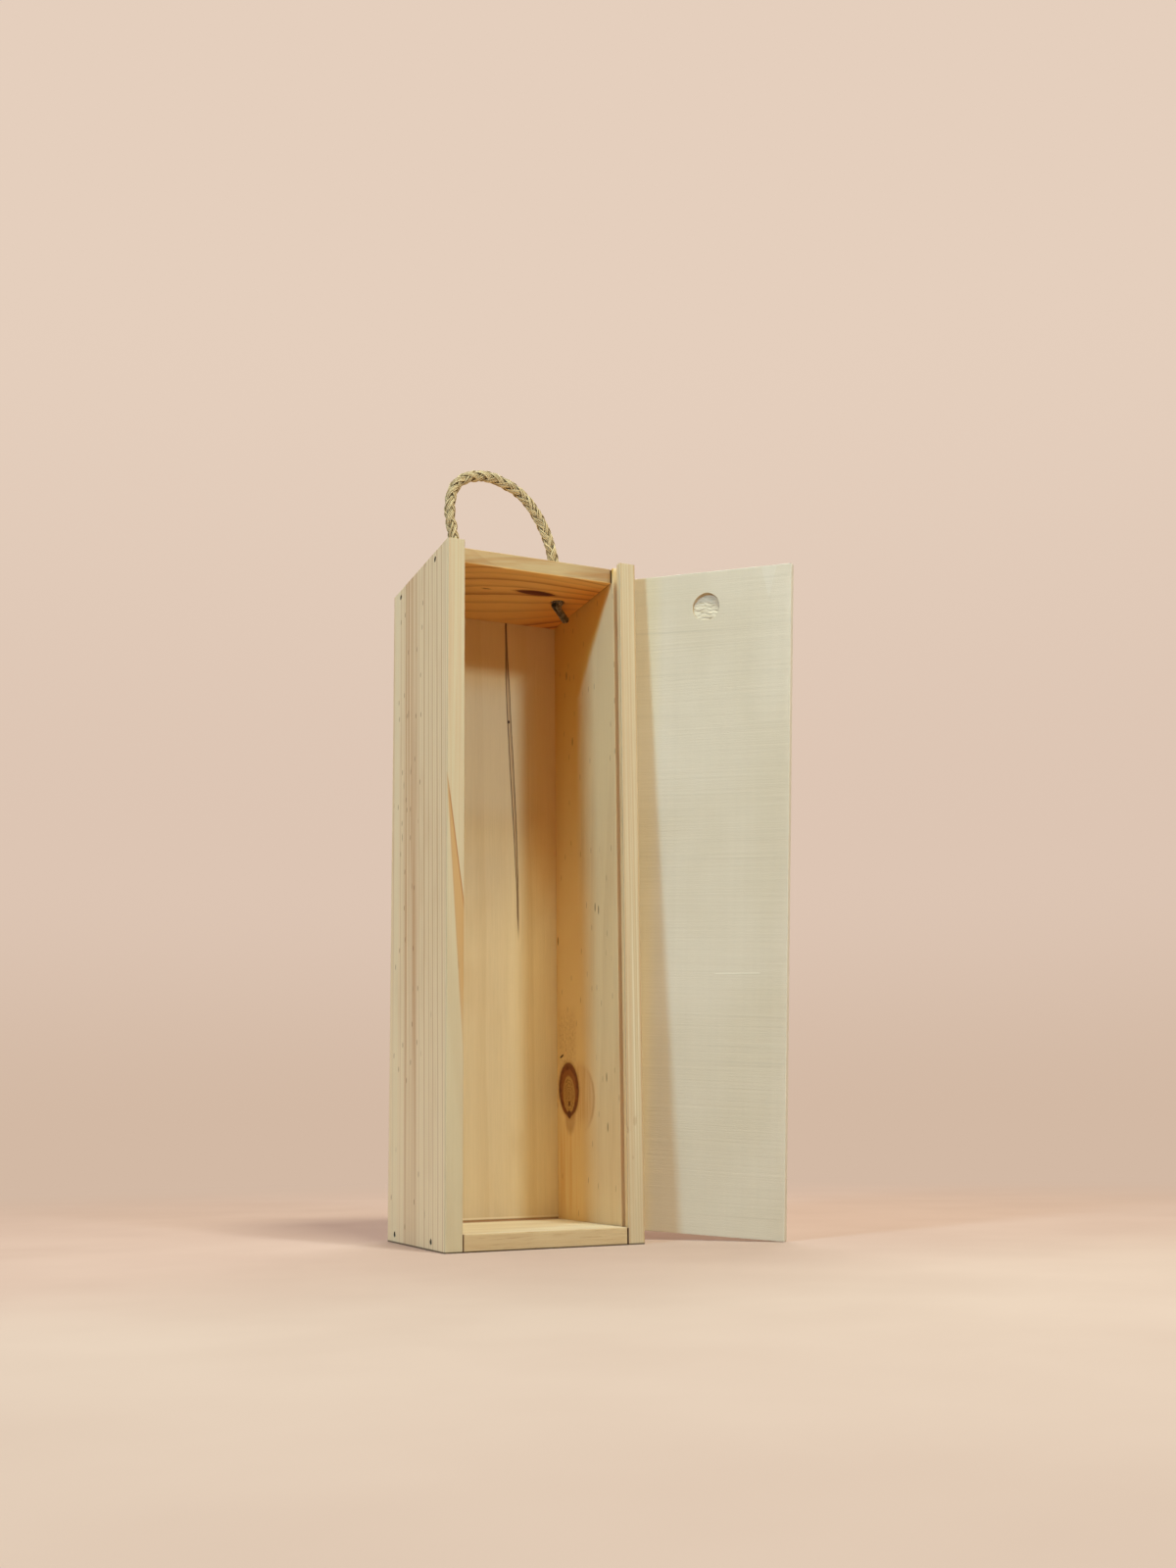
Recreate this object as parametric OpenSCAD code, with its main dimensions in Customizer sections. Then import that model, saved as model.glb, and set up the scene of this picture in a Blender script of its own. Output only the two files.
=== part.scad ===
// Single-bottle wine box of pine boards, with a thin lid that slides in grooves and a rope handle.
// The lid is out of its grooves: it stands on one corner and leans its left edge on the box's right side.
// Millimetres. The origin is the middle of the box's footprint on the floor, +Z is up and -Y is the open front.

/* [Box] */
// Width over the two side boards
box_w = 103; // [98:1:140]
// Depth from the open front to the back
box_d = 98; // [92:1:140]
// Height of the side boards
box_h = 350; // [280:1:420]
// Thickness of each side board
side_t = 9; // [8:0.5:12]
// Thickness of the bottom board
bottom_t = 8.5; // [7:0.5:12]
// Thickness of the top board
top_t = 8.2; // [7:0.2:12]
// Chamfer on the outer long edges of the side boards
arris = 0.6; // [0.2:0.1:1.5]

/* [Back panel] */
// Thickness of the back panel, which is also the rebate's width
back_t = 5; // [4:0.5:8]
// Depth of the rebate cut into each side board for the back panel
rebate_depth = 4.5; // [3:0.5:6]
// Play between the back panel's edge and the rebate
back_play = 0.1; // [0.05:0.05:0.5]

/* [Lid groove] */
// Wood left in front of the groove
lip_t = 4; // [3:0.5:7]
// Width of the groove, from front to back
groove_w = 4.6; // [4.4:0.1:7]
// Depth of the groove into each side board
groove_depth = 4.4; // [3:0.2:6]
// Distance that the top board stays behind the groove, so that the lid passes it
top_relief = 1.9; // [0.5:0.1:5]

/* [Lid] */
// Thickness of the lid
lid_t = 3.8; // [3:0.1:4.2]
// Play between the lid's long edge and the floor of each groove
lid_play = 0.4; // [0.2:0.1:1]
// Diameter of the thumb recess
recess_d = 15; // [12:0.5:20]
// Depth of the thumb recess at its upper rim
recess_depth = 2; // [1:0.1:2.5]
// Height by which the recess's floor has left the wood at its lower rim
recess_runout = 0.2; // [0.1:0.05:0.5]
// Distance from the lid's upper edge down to the middle of the recess
recess_drop = 19; // [14:0.5:40]

/* [Where the lid stands] */
// Angle by which the lid is turned away from the box's open front
lid_turn = 48.5; // [30:0.5:60]
// Angle by which the lid is tipped over its lower right corner
lid_tip = 3.5; // [0:0.5:6]
// Gap between the lid's left edge and the side board it leans on
lid_gap = 0.3; // [0.2:0.1:1]
// Distance from the middle of the box forwards to the middle of the lid's lower edge
lid_forward = 42.8; // [20:0.2:60]

/* [Rope handle] */
// Diameter of the rope
rope_d = 6; // [5:0.5:7]
// Diameter of the two rope holes in the top board
rope_hole_d = 7.5; // [7.2:0.1:10]
// Distance between the two rope holes
rope_span = 57.6; // [50:0.2:60]
// Distance by which the middle between the holes lies right of the board's middle
rope_shift = -1.8; // [-3:0.2:3]
// Clearance between the foot of the rope's arch and the top board
rope_clear = 0.3; // [0.2:0.1:0.8]

/* [Rope end bars] */
// Diameter of the rolled metal bar on each rope end
bar_d = 4.2; // [3:0.2:5]
// Length of the bar
bar_l = 16; // [12:1:18]
// Thickness of the bar's rolled sheet
bar_wall = 0.6; // [0.4:0.1:1]
// Width of the open seam along the bar
bar_seam = 0.7; // [0.4:0.1:1.2]
// Depth of the open ends before the crimped middle
bar_mouth = 3; // [1:0.5:5]
// Distance from the hole's axis back to the bar's raised end
bar_reach = 4.2; // [2:0.2:6]
// Angle by which the right bar is turned from the width of the box
bar_turn = 45; // [0:5:60]
// Angle by which the left bar is turned from the width of the box
left_bar_turn = 75; // [0:5:90]
// Angle by which the bar's free end hangs down
bar_droop = 16; // [5:1:30]

/* [Brads] */
// Diameter of a brad's shank
brad_d = 1.2; // [1:0.1:1.6]
// Length of a brad under and with its head
brad_l = 20; // [16:1:24]
// Diameter of a brad's head
brad_head_d = 1.9; // [1.7:0.1:2.6]
// Thickness of a brad's head
brad_head_t = 0.5; // [0.4:0.1:1]
// Clearance round a brad in the wood
brad_fit = 0.03; // [0.01:0.01:0.05]
// Distance from the open front to the first brad in a side board
brad_front = 21.5; // [14:0.5:30]
// Distance from the back to the second brad in a side board
brad_back = 14; // [10:0.5:30]
// Distance between the two brads that hold the back panel to one end board
back_brad_pair = 36; // [20:1:40]
// Distance between the two brads that hold the back panel to one side board
back_brad_rise = 180; // [60:5:220]

/* [Hidden] */
$fn = 64;
over = 1;                                   // how far a cut runs past the surface it opens

inner_w = box_w - 2 * side_t;
front_y = -box_d / 2;
back_y = box_d / 2;
back_face_y = back_y - back_t;              // the back panel's inner face
groove_front_y = front_y + lip_t;
groove_back_y = groove_front_y + groove_w;
top_front_y = groove_back_y + top_relief;
underside_z = box_h - top_t;

lid_w = inner_w + 2 * (groove_depth - lid_play);
lid_l = box_h - bottom_t;                   // from the bottom board to flush with the side boards' tops
lid_lean = asin(tan(lid_tip) / tan(lid_turn));  // lays the left edge flat along the side board
lid_left_x = -lid_w / 2 * (cos(lid_tip) * cos(lid_turn) + sin(lid_tip) * sin(lid_lean) * sin(lid_turn));
lid_x = box_w / 2 + lid_gap - lid_left_x;
lid_z = lid_w / 2 * sin(lid_tip) * cos(lid_lean);
recess_tilt = asin((recess_depth + recess_runout) / recess_d);

rope_r = rope_d / 2;
rope_pivot_z = box_h + rope_clear + rope_r; // the arch bends at its feet about this height
rope_sides = 12;
rope_steps = 2;
dome_angles = [75, 50, 25];
// The rope's arch from the left foot to the right one, as [x, height over the feet's pivots]
rope_route = [[-31.4, 8], [-33, 18], [-35, 30], [-34, 42], [-29, 50], [-20.5, 54], [-11.5, 54.5], [-2.5, 52],
              [4.5, 48.5], [10, 43.5], [15, 37], [19.5, 29], [22.5, 21], [24.5, 13], [26, 6]];

side_brad_ys = [front_y + brad_front, back_y - brad_back];
end_board_zs = [bottom_t / 2, box_h - top_t / 2];

// ---- helpers ----

function unit(v) = v / norm(v);

// A point of the smooth curve that passes through the route's points, t along from point i to the next
function curve_point(p, i, t) =
    let (a = p[max(i - 1, 0)], b = p[i], c = p[i + 1], d = p[min(i + 2, len(p) - 1)])
    (2 * b + (c - a) * t + (2 * a - 5 * b + 4 * c - d) * t * t + (3 * b - a - 3 * c + d) * t * t * t) / 2;

function curve(p, steps) = concat(
    [for (i = [0:len(p) - 2], s = [0:steps - 1]) curve_point(p, i, s / steps)],
    [p[len(p) - 1]]);

function tangents(p) = [for (i = [0:len(p) - 1]) unit(p[min(i + 1, len(p) - 1)] - p[max(i - 1, 0)])];

// One ring of the tube round a point [x, z] of a curve that lies in the XZ plane
function ring(c, t, r) = [for (k = [0:rope_sides - 1])
    let (a = 360 * k / rope_sides)
    [c[0] - r * sin(a) * t[1], r * cos(a), c[1] + r * sin(a) * t[0]]];

// A round tube along a flat curve, closed with a dome at each end
module flat_tube(p, r) {
    t = tangents(p);
    last = len(p) - 1;
    rings = concat(
        [for (a = dome_angles) ring(p[0] - t[0] * r * sin(a), t[0], r * cos(a))],
        [for (i = [0:last]) ring(p[i], t[i], r)],
        [for (i = [len(dome_angles) - 1:-1:0])
            ring(p[last] + t[last] * r * sin(dome_angles[i]), t[last], r * cos(dome_angles[i]))]);
    n = rope_sides;
    polyhedron(
        points = [for (one = rings) each one],
        faces = concat(
            [[for (k = [0:n - 1]) k]],
            [for (i = [0:len(rings) - 2], k = [0:n - 1])
                [i * n + k, (i + 1) * n + k, (i + 1) * n + (k + 1) % n, i * n + (k + 1) % n]],
            [[for (k = [n - 1:-1:0]) (len(rings) - 1) * n + k]]));
}

// A brad with its head's top at z = 0 and its point down; grow widens it into its own bore
module brad(grow = 0) {
    translate([0, 0, -brad_head_t - grow])
        cylinder(d = brad_head_d + 2 * grow, h = brad_head_t + (grow > 0 ? over : 0) + grow);
    translate([0, 0, -brad_l - grow])
        cylinder(d = brad_d + 2 * grow, h = brad_l + grow - brad_head_t / 2);
}

// The places of the brads that go through one side board (side is -1 or 1) into the end boards
module at_side_brads(side) {
    for (y = side_brad_ys, z = end_board_zs)
        translate([side * box_w / 2, y, z])
            rotate([0, side * 90, 0])
                children();
}

// The places of the brads that hold the back panel, two to each end board and two to each side board
module at_back_brads() {
    for (x = [-1, 1], z = end_board_zs)
        translate([x * back_brad_pair / 2, back_y, z])
            rotate([-90, 0, 0])
                children();
    for (x = [-1, 1], z = [-1, 1])
        translate([x * (inner_w + rebate_depth) / 2, back_y, (box_h + z * back_brad_rise) / 2])
            rotate([-90, 0, 0])
                children();
}

module brad_bores() {
    at_side_brads(-1) brad(brad_fit);
    at_side_brads(1) brad(brad_fit);
    at_back_brads() brad(brad_fit);
}

// The right side board's outline seen from above, with the lid groove and the back panel's rebate
module side_outline() {
    in_x = inner_w / 2;
    out_x = box_w / 2;
    polygon([
        [in_x, front_y], [out_x - arris, front_y], [out_x, front_y + arris],
        [out_x, back_y - arris], [out_x - arris, back_y],
        [in_x + rebate_depth, back_y], [in_x + rebate_depth, back_face_y], [in_x, back_face_y],
        [in_x, groove_back_y], [in_x + groove_depth, groove_back_y],
        [in_x + groove_depth, groove_front_y], [in_x, groove_front_y]]);
}

module side_board(side) {
    difference() {
        mirror([side < 0 ? 1 : 0, 0, 0])
            linear_extrude(box_h)
                side_outline();
        brad_bores();
    }
}

// ---- the pieces ----

module left_side() {
    color("#c9b98c") side_board(-1);
}

module right_side() {
    color("#d1c294") side_board(1);
}

module top_board() {
    color("#c9a468")
    difference() {
        translate([-inner_w / 2, top_front_y, underside_z])
            cube([inner_w, back_face_y - top_front_y, top_t]);
        for (side = [-1, 1])
            translate([rope_shift + side * rope_span / 2, 0, underside_z - over])
                cylinder(d = rope_hole_d, h = top_t + 2 * over);
        brad_bores();
    }
}

module bottom_board() {
    color("#cdb27a")
    difference() {
        translate([-inner_w / 2, front_y, 0])
            cube([inner_w, back_face_y - front_y, bottom_t]);
        brad_bores();
    }
}

module back_panel() {
    w = inner_w + 2 * (rebate_depth - back_play);
    color("#c8aa74")
    difference() {
        translate([-w / 2, back_face_y, 0])
            cube([w, back_t, box_h]);
        brad_bores();
    }
}

// The lid, standing on its lower right corner beside the box. Its own front face is y = 0 before it is placed.
module sliding_lid() {
    color("#d3caac")
    translate([lid_x, -lid_forward, lid_z])
        rotate([0, 0, -lid_turn])
            rotate([lid_lean, 0, 0])
                rotate([0, lid_tip, 0])
                    difference() {
                        translate([-lid_w / 2, 0, 0])
                            cube([lid_w, lid_t, lid_l]);
                        translate([0, (recess_depth - recess_runout) / 2, lid_l - recess_drop])
                            rotate([90 - recess_tilt, 0, 0])
                                cylinder(d = recess_d, h = lid_t + over);
                    }
}

// The rope above the board, which swings forwards and back at its feet
module rope_arch() {
    feet = concat([[rope_shift - rope_span / 2, 0]], rope_route, [[rope_shift + rope_span / 2, 0]]);
    color("#b9a77e")
    translate([0, 0, rope_pivot_z])
        flat_tube(curve(feet, rope_steps), rope_r);
}

// The two short lengths of the rope inside the holes
module rope_ends() {
    color("#a8946a")
    for (side = [-1, 1])
        translate([rope_shift + side * rope_span / 2, 0, underside_z])
            cylinder(d = rope_d, h = top_t);
}

// One bar, rolled from sheet: open at both ends, crimped solid in the middle, with its seam below
module end_bar() {
    difference() {
        cylinder(d = bar_d, h = bar_l);
        for (z = [-over, bar_l - bar_mouth])
            translate([0, 0, z])
                cylinder(d = bar_d - 2 * bar_wall, h = bar_mouth + over);
        translate([bar_d / 2 - bar_wall, -bar_seam / 2, -over])
            cube([bar_wall + over, bar_seam, bar_l + 2 * over]);
    }
}

module rope_end_bars() {
    color("#8d8874")
    for (side = [0, 1])
        translate([rope_shift, 0, 0])
            mirror([side, 0, 0])
                translate([rope_span / 2, 0, underside_z])
                    rotate([0, 0, side == 1 ? left_bar_turn : bar_turn])
                        translate([-bar_reach, 0, -bar_d / 2 - rope_clear])
                            rotate([0, 90 + bar_droop, 0])
                                end_bar();
}

module left_side_brads() {
    color("#5d5346") at_side_brads(-1) brad();
}

module right_side_brads() {
    color("#5d5346") at_side_brads(1) brad();
}

module back_panel_brads() {
    color("#5d5346") at_back_brads() brad();
}

left_side();
right_side();
top_board();
bottom_board();
back_panel();
sliding_lid();
rope_arch();
rope_ends();
rope_end_bars();
left_side_brads();
right_side_brads();
back_panel_brads();
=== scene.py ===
# Looks of a pine wine box for one bottle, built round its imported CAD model.
# Places are in metres in the CAD's frame: +Z up, -Y out of the open front, +X to the board that the lid
# leans on. The wood's figure is worked out in millimetres of the same frame.
import math

import bmesh
import bpy
import numpy as np
from mathutils import Matrix, Vector


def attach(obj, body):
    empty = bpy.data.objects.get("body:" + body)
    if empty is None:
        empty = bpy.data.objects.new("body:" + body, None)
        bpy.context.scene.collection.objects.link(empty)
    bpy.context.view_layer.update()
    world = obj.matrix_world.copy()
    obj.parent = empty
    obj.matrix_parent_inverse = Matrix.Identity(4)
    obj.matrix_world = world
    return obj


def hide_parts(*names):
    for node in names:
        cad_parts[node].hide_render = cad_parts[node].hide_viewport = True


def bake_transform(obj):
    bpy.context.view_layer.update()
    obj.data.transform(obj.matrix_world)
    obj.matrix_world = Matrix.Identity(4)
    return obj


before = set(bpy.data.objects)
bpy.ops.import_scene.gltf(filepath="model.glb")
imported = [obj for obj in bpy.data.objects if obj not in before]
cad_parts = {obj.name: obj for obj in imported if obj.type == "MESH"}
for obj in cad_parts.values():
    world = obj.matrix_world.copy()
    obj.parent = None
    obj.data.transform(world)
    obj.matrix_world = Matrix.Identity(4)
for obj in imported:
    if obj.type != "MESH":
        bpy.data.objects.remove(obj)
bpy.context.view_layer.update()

MM = 0.001
MM_PER_M = 1000

# ---- sizes of the box, as in the CAD model, in metres ----

BOX_W, BOX_D, BOX_H = 0.103, 0.098, 0.350
SIDE_T, BOTTOM_T, TOP_T, BACK_T = 0.009, 0.0085, 0.0082, 0.005
REBATE_DEPTH, BACK_PLAY = 0.0045, 0.0001
LIP_T, GROOVE_W, GROOVE_DEPTH, TOP_RELIEF = 0.004, 0.0046, 0.0044, 0.0019
INNER_X = BOX_W / 2 - SIDE_T
OUTER_X = BOX_W / 2
FRONT_Y, BACK_Y = -BOX_D / 2, BOX_D / 2
PANEL_Y = BACK_Y - BACK_T
GROOVE_FRONT_Y = FRONT_Y + LIP_T
GROOVE_BACK_Y = GROOVE_FRONT_Y + GROOVE_W
TOP_FRONT_Y = GROOVE_BACK_Y + TOP_RELIEF
UNDERSIDE_Z = BOX_H - TOP_T
LEFT_HOLE_X, RIGHT_HOLE_X, HOLE_D = -0.0306, 0.027, 0.0075
ROPE_D, ROPE_CLEAR = 0.006, 0.0003
PIVOT_Z = BOX_H + ROPE_CLEAR + ROPE_D / 2

# ---- camera, matched to the photograph ----

IMAGE_W, IMAGE_H = 1200, 1600
FOCAL_PX = 1574.4
CENTRE_PX = (646.55, 893.05)
CAMERA_PLACE = Vector((-0.2763, -0.7549, 0.0574))
CAMERA_AHEAD = Vector((0.41206, 0.89691, 0.16051))
CAMERA_RIGHT = Vector((0.90958, -0.41528, -0.01458))


def make_camera():
    data = bpy.data.cameras.new("camera")
    data.sensor_width = 36
    data.lens = data.sensor_width * FOCAL_PX / IMAGE_H
    data.shift_x = (IMAGE_W / 2 - CENTRE_PX[0]) / IMAGE_H
    data.shift_y = (CENTRE_PX[1] - IMAGE_H / 2) / IMAGE_H
    data.clip_start = 0.01
    camera = bpy.data.objects.new("camera", data)
    bpy.context.scene.collection.objects.link(camera)
    up = CAMERA_RIGHT.cross(CAMERA_AHEAD)
    turn = Matrix((CAMERA_RIGHT, up, -CAMERA_AHEAD)).transposed().to_4x4()
    camera.matrix_world = Matrix.Translation(CAMERA_PLACE) @ turn
    bpy.context.scene.camera = camera


# ---- shader sums ----

def colour(code):
    """Linear colour of a #RRGGBB code."""
    parts = np.array([int(code[i:i + 2], 16) for i in (1, 3, 5)]) / 255
    linear = np.where(parts <= 0.04045, parts / 12.92, ((parts + 0.055) / 1.055) ** 2.4)
    return (*(float(v) for v in linear), 1.0)


class Wire:
    """A shader socket in a sum: an operator on it adds a Math node to its tree."""

    def __init__(self, sums, socket):
        self.sums = sums
        self.socket = socket

    def __add__(self, other):
        return self.sums.maths("ADD", self, other)

    def __sub__(self, other):
        return self.sums.maths("SUBTRACT", self, other)

    def __rsub__(self, other):
        return self.sums.maths("SUBTRACT", other, self)

    def __mul__(self, other):
        return self.sums.maths("MULTIPLY", self, other)

    def __truediv__(self, other):
        return self.sums.maths("DIVIDE", self, other)

    def __pow__(self, other):
        return self.sums.maths("POWER", self, other)

    def __abs__(self):
        return self.sums.maths("ABSOLUTE", self)

    __radd__ = __add__
    __rmul__ = __mul__


class Sums:
    """Node sums in one node tree."""

    def __init__(self, tree):
        self.tree = tree

    def node(self, kind, settings=None, inputs=None, output=0):
        """Adds a node: its settings first, then its sockets' values or links. Gives the output as a Wire."""
        made = self.tree.nodes.new(kind)
        for key, value in (settings or {}).items():
            setattr(made, key, value)
        for key, value in (inputs or {}).items():
            self.feed(made.inputs[key], value)
        return Wire(self, made.outputs[output])

    def feed(self, socket, value):
        """Links a Wire to the socket, or sets its value, which may be a colour code."""
        if isinstance(value, Wire):
            self.tree.links.new(value.socket, socket)
        else:
            socket.default_value = colour(value) if isinstance(value, str) else value

    def maths(self, operation, *values):
        return self.node("ShaderNodeMath", {"operation": operation}, dict(enumerate(values)))

    def parts(self, vector):
        """The three parts of a vector."""
        split = self.node("ShaderNodeSeparateXYZ", None, {0: vector}).socket.node
        return [Wire(self, output) for output in split.outputs]


class Finish(Sums):
    """A material whose colour, roughness and relief are worked out from node sums. Its tone is the colour so
    far, which each coat of paint changes."""

    def __init__(self, name, tone):
        self.material = bpy.data.materials.new(name)
        self.material.use_nodes = True
        super().__init__(self.material.node_tree)
        self.shader = self.tree.nodes["Principled BSDF"]
        self.tone = tone

    def place(self):
        """The point of the surface in millimetres."""
        return [part * MM_PER_M for part in self.parts(self.node("ShaderNodeTexCoord", output=3))]

    def vector(self, x, y, z):
        return self.node("ShaderNodeCombineXYZ", None, {0: x, 1: y, 2: z})

    def noise(self, x, y, z, detail=2, roughness=0.5):
        """Smooth noise about 0, from -0.5 to 0.5, one cell to each unit of x, y and z."""
        inputs = {"Vector": self.vector(x, y, z), "Scale": 1, "Detail": detail, "Roughness": roughness}
        return self.node("ShaderNodeTexNoise", None, inputs) - 0.5

    def step(self, value, low, high):
        """0 below low, 1 above high, and a smooth rise between them; low may be the greater."""
        inputs = {"Value": value, 1: min(low, high), 2: max(low, high)}
        if low > high:
            inputs.update({3: 1, 4: 0})
        return self.node("ShaderNodeMapRange", {"interpolation_type": "SMOOTHSTEP"}, inputs)

    def band(self, value, centre, half, soft):
        """1 within half of centre, falling to 0 over soft beyond it."""
        return self.step(abs(value - centre), half + soft, half)

    def mix(self, share, first, second, blend="MIX"):
        settings = {"data_type": "RGBA", "blend_type": blend, "clamp_factor": True}
        return self.node("ShaderNodeMix", settings, {0: share, 6: first, 7: second}, output=2)

    def tint(self, paint, share, blend="MIX"):
        """Mixes a share of the paint into the tone."""
        self.tone = self.mix(share, self.tone, paint, blend)

    def wash(self, paint, share):
        """Multiplies a share of the tone by the paint."""
        self.tint(paint, share, "MULTIPLY")

    def darken(self, amount):
        """Cuts the tone's light by amount, which may vary from 0 to 1."""
        self.tint("#000000", amount)

    def away(self, a, b):
        """The distance from 0 in two directions."""
        return self.maths("SQRT", a * a + b * b)

    def relief(self, height, depth):
        """A bump whose height, from 0 to 1, is depth metres."""
        self.feed(self.shader.inputs["Normal"], self.node(
            "ShaderNodeBump", None, {"Strength": 1, "Distance": depth, "Height": height}))

    def finish(self, roughness, specular=0.3):
        self.feed(self.shader.inputs["Base Color"], self.tone)
        self.feed(self.shader.inputs["Roughness"], roughness)
        self.feed(self.shader.inputs["Specular IOR Level"], specular)
        return self.material


# ---- wood ----

# The numbers in the rings and marks are places and widths in mm along the box's X, Y and Z, read off the
# photograph, and shares of a colour from 0 to 1. step(place, low, high) and band(place, centre, half, soft)
# say where a mark lies and how softly it ends.

RESIN = "#70492A"
WOOD_RELIEF = 0.0002


def flecks(f, spot, size, share, space="3D"):
    """Dark dashes: a share of the unit cells round spot each hold one, of radius size."""
    settings = {"voronoi_dimensions": space}
    cell = f.node("ShaderNodeTexVoronoi", settings, {"Vector": spot, "Scale": 1})
    chosen = f.node("ShaderNodeSeparateColor", None, {0: Wire(f, cell.socket.node.outputs[1])})
    return f.step(cell, size, size * 0.5) * f.step(chosen, share, share * 0.9)


def within(f, ring, seed):
    """How far through its ring a ring number lies, from 0 to 1, and that ring's own random value."""
    number = f.maths("FLOOR", ring)
    own = f.node("ShaderNodeTexWhiteNoise", {"noise_dimensions": "1D"}, {"W": number + seed})
    return ring - number, own


def growth(f, depth, spacing, seed):
    """How late the wood is, from 0 to 1, across rings spacing mm apart: each rises slowly and drops sharply,
    with its own width and strength."""
    ring = depth / spacing + f.noise(depth / (2.3 * spacing), seed, 0.0, 1) * 1.1
    share, own = within(f, ring, seed)
    return f.step(share, 0.35, 0.93) * f.step(share, 1.0, 0.95) * (own * 0.9 + 0.25)


def pine(name, grain, rings, early, late, marks, resin=0.2, seed=0.0, fibres=1.0):
    """Solid pine. rings(f, x, y, z) gives how late the wood is, from 0 to 1, and the tone goes from early
    to late. Fine fibres and resin dashes run along the grain, and marks(f, x, y, z) paints the board's
    own marks. The sawn ends are darker and open-pored."""
    f = Finish(name, early)
    x, y, z = f.place()
    a, b, along = (x, y, z) if grain == "z" else (y, z, x)
    streak = f.noise(a * 1.1, b * 1.1, along * 0.022, 4, 0.62)
    fibre = f.noise(a * 5, b * 5, along * 0.09, 3, 0.6)
    patch = f.noise(a / 16 + seed, b / 16, along / 55, 2)
    late_share = rings(f, x, y, z)
    f.tint(late, late_share)
    f.tint(late, f.step(patch, 0.02, 0.3) * 0.16)
    f.darken(0.03 + streak * (0.3 * fibres) + fibre * (0.26 * fibres))
    dash = flecks(f, f.vector(a / 6.5, b / 6.5, along / 27), 0.11, resin)
    f.tint(RESIN, dash * 0.6)
    marks(f, x, y, z)
    facing = f.parts(f.node("ShaderNodeTexCoord", output=1))["xyz".index(grain)]
    end_grain = f.step(abs(facing), 0.6, 0.9)
    pores = f.noise(a * 4, b * 4, along * 4, 2)
    f.tint(late, end_grain * 0.3)
    f.darken(end_grain * (pores * 0.3 + 0.12))
    f.relief(late_share * 0.25 + streak * 0.5 + fibre * 0.7 + 0.4 - dash * 0.5, WOOD_RELIEF)
    return f.finish(0.64 + streak * 0.15 - late_share * 0.06)


def sway(f, a, b, along, seed):
    """The slow wandering of the rings, about 0, over tens of millimetres along the grain."""
    slow = f.noise(a / 45 + seed, b / 45, along / 140, 1)
    return slow + f.noise(a / 8, b / 8 + seed, along / 60, 1) * 0.2


def lines(f, place, spots, soft):
    """Latewood lines: for each (centre, half width, strength), in mm, a band of that strength."""
    total = 0.0
    for centre, half, strength in spots:
        total = f.band(place, centre, half, soft) * strength + total
    return total


# ---- shapes ----

def grid_faces(rows, columns, closed):
    """Quads between neighbouring points of a rows by columns grid, whose columns may close on themselves."""
    i = np.arange(rows - 1)[:, None]
    j = np.arange(columns if closed else columns - 1)[None, :]
    k = (j + 1) % columns
    quads = np.stack([i * columns + j, i * columns + k, (i + 1) * columns + k, (i + 1) * columns + j], -1)
    return quads.reshape(-1, 4)


def mesh_object(name, points, faces, material, caps=()):
    """A mesh from point rows and quads, with flat many-sided caps, shaded smooth except over sharp edges."""
    mesh = bpy.data.meshes.new(name)
    faces = [[int(i) for i in face] for face in [*faces, *caps]]
    mesh.from_pydata(np.asarray(points).reshape(-1, 3).tolist(), [], faces)
    mesh.materials.append(material)
    piece = bpy.data.objects.new(name, mesh)
    bpy.context.scene.collection.objects.link(piece)
    settle(piece)
    return piece


def settle(piece, sharp_degrees=32):
    """Faces outwards, smooth shading and sharp edges where faces meet at more than sharp_degrees."""
    work = bmesh.new()
    work.from_mesh(piece.data)
    bmesh.ops.recalc_face_normals(work, faces=work.faces)
    work.to_mesh(piece.data)
    work.free()
    piece.data.shade_smooth()
    piece.data.set_sharp_from_angle(angle=math.radians(sharp_degrees))
    big = np.array([len(p.vertices) > 8 for p in piece.data.polygons])
    piece.data.polygons.foreach_set("use_smooth", ~big)


def join(name, parts):
    """Several meshes as one piece."""
    work = bmesh.new()
    for part in parts:
        work.from_mesh(part.data)
    joined = parts[0]
    work.to_mesh(joined.data)
    work.free()
    for part in parts[1:]:
        bpy.data.objects.remove(part)
    joined.name = name
    settle(joined)
    return joined


ARC_STEPS = 4
POINT_STEP = 0.003
ARRIS_SUPPORT = 0.0003  # the nearest points beside an arc, which keep its shading off the flat
FULL_TURN = 2 * math.pi


def beside(row):
    """Each row's neighbours before and after it, on a closed line."""
    return np.roll(row, 1, 0), np.roll(row, -1, 0)


def winding(line):
    """Positive for a closed line that runs anticlockwise, negative for the other way."""
    after = beside(line)[1]
    return np.sign(np.sum(line[:, 0] * after[:, 1] - line[:, 1] * after[:, 0]))


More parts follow.
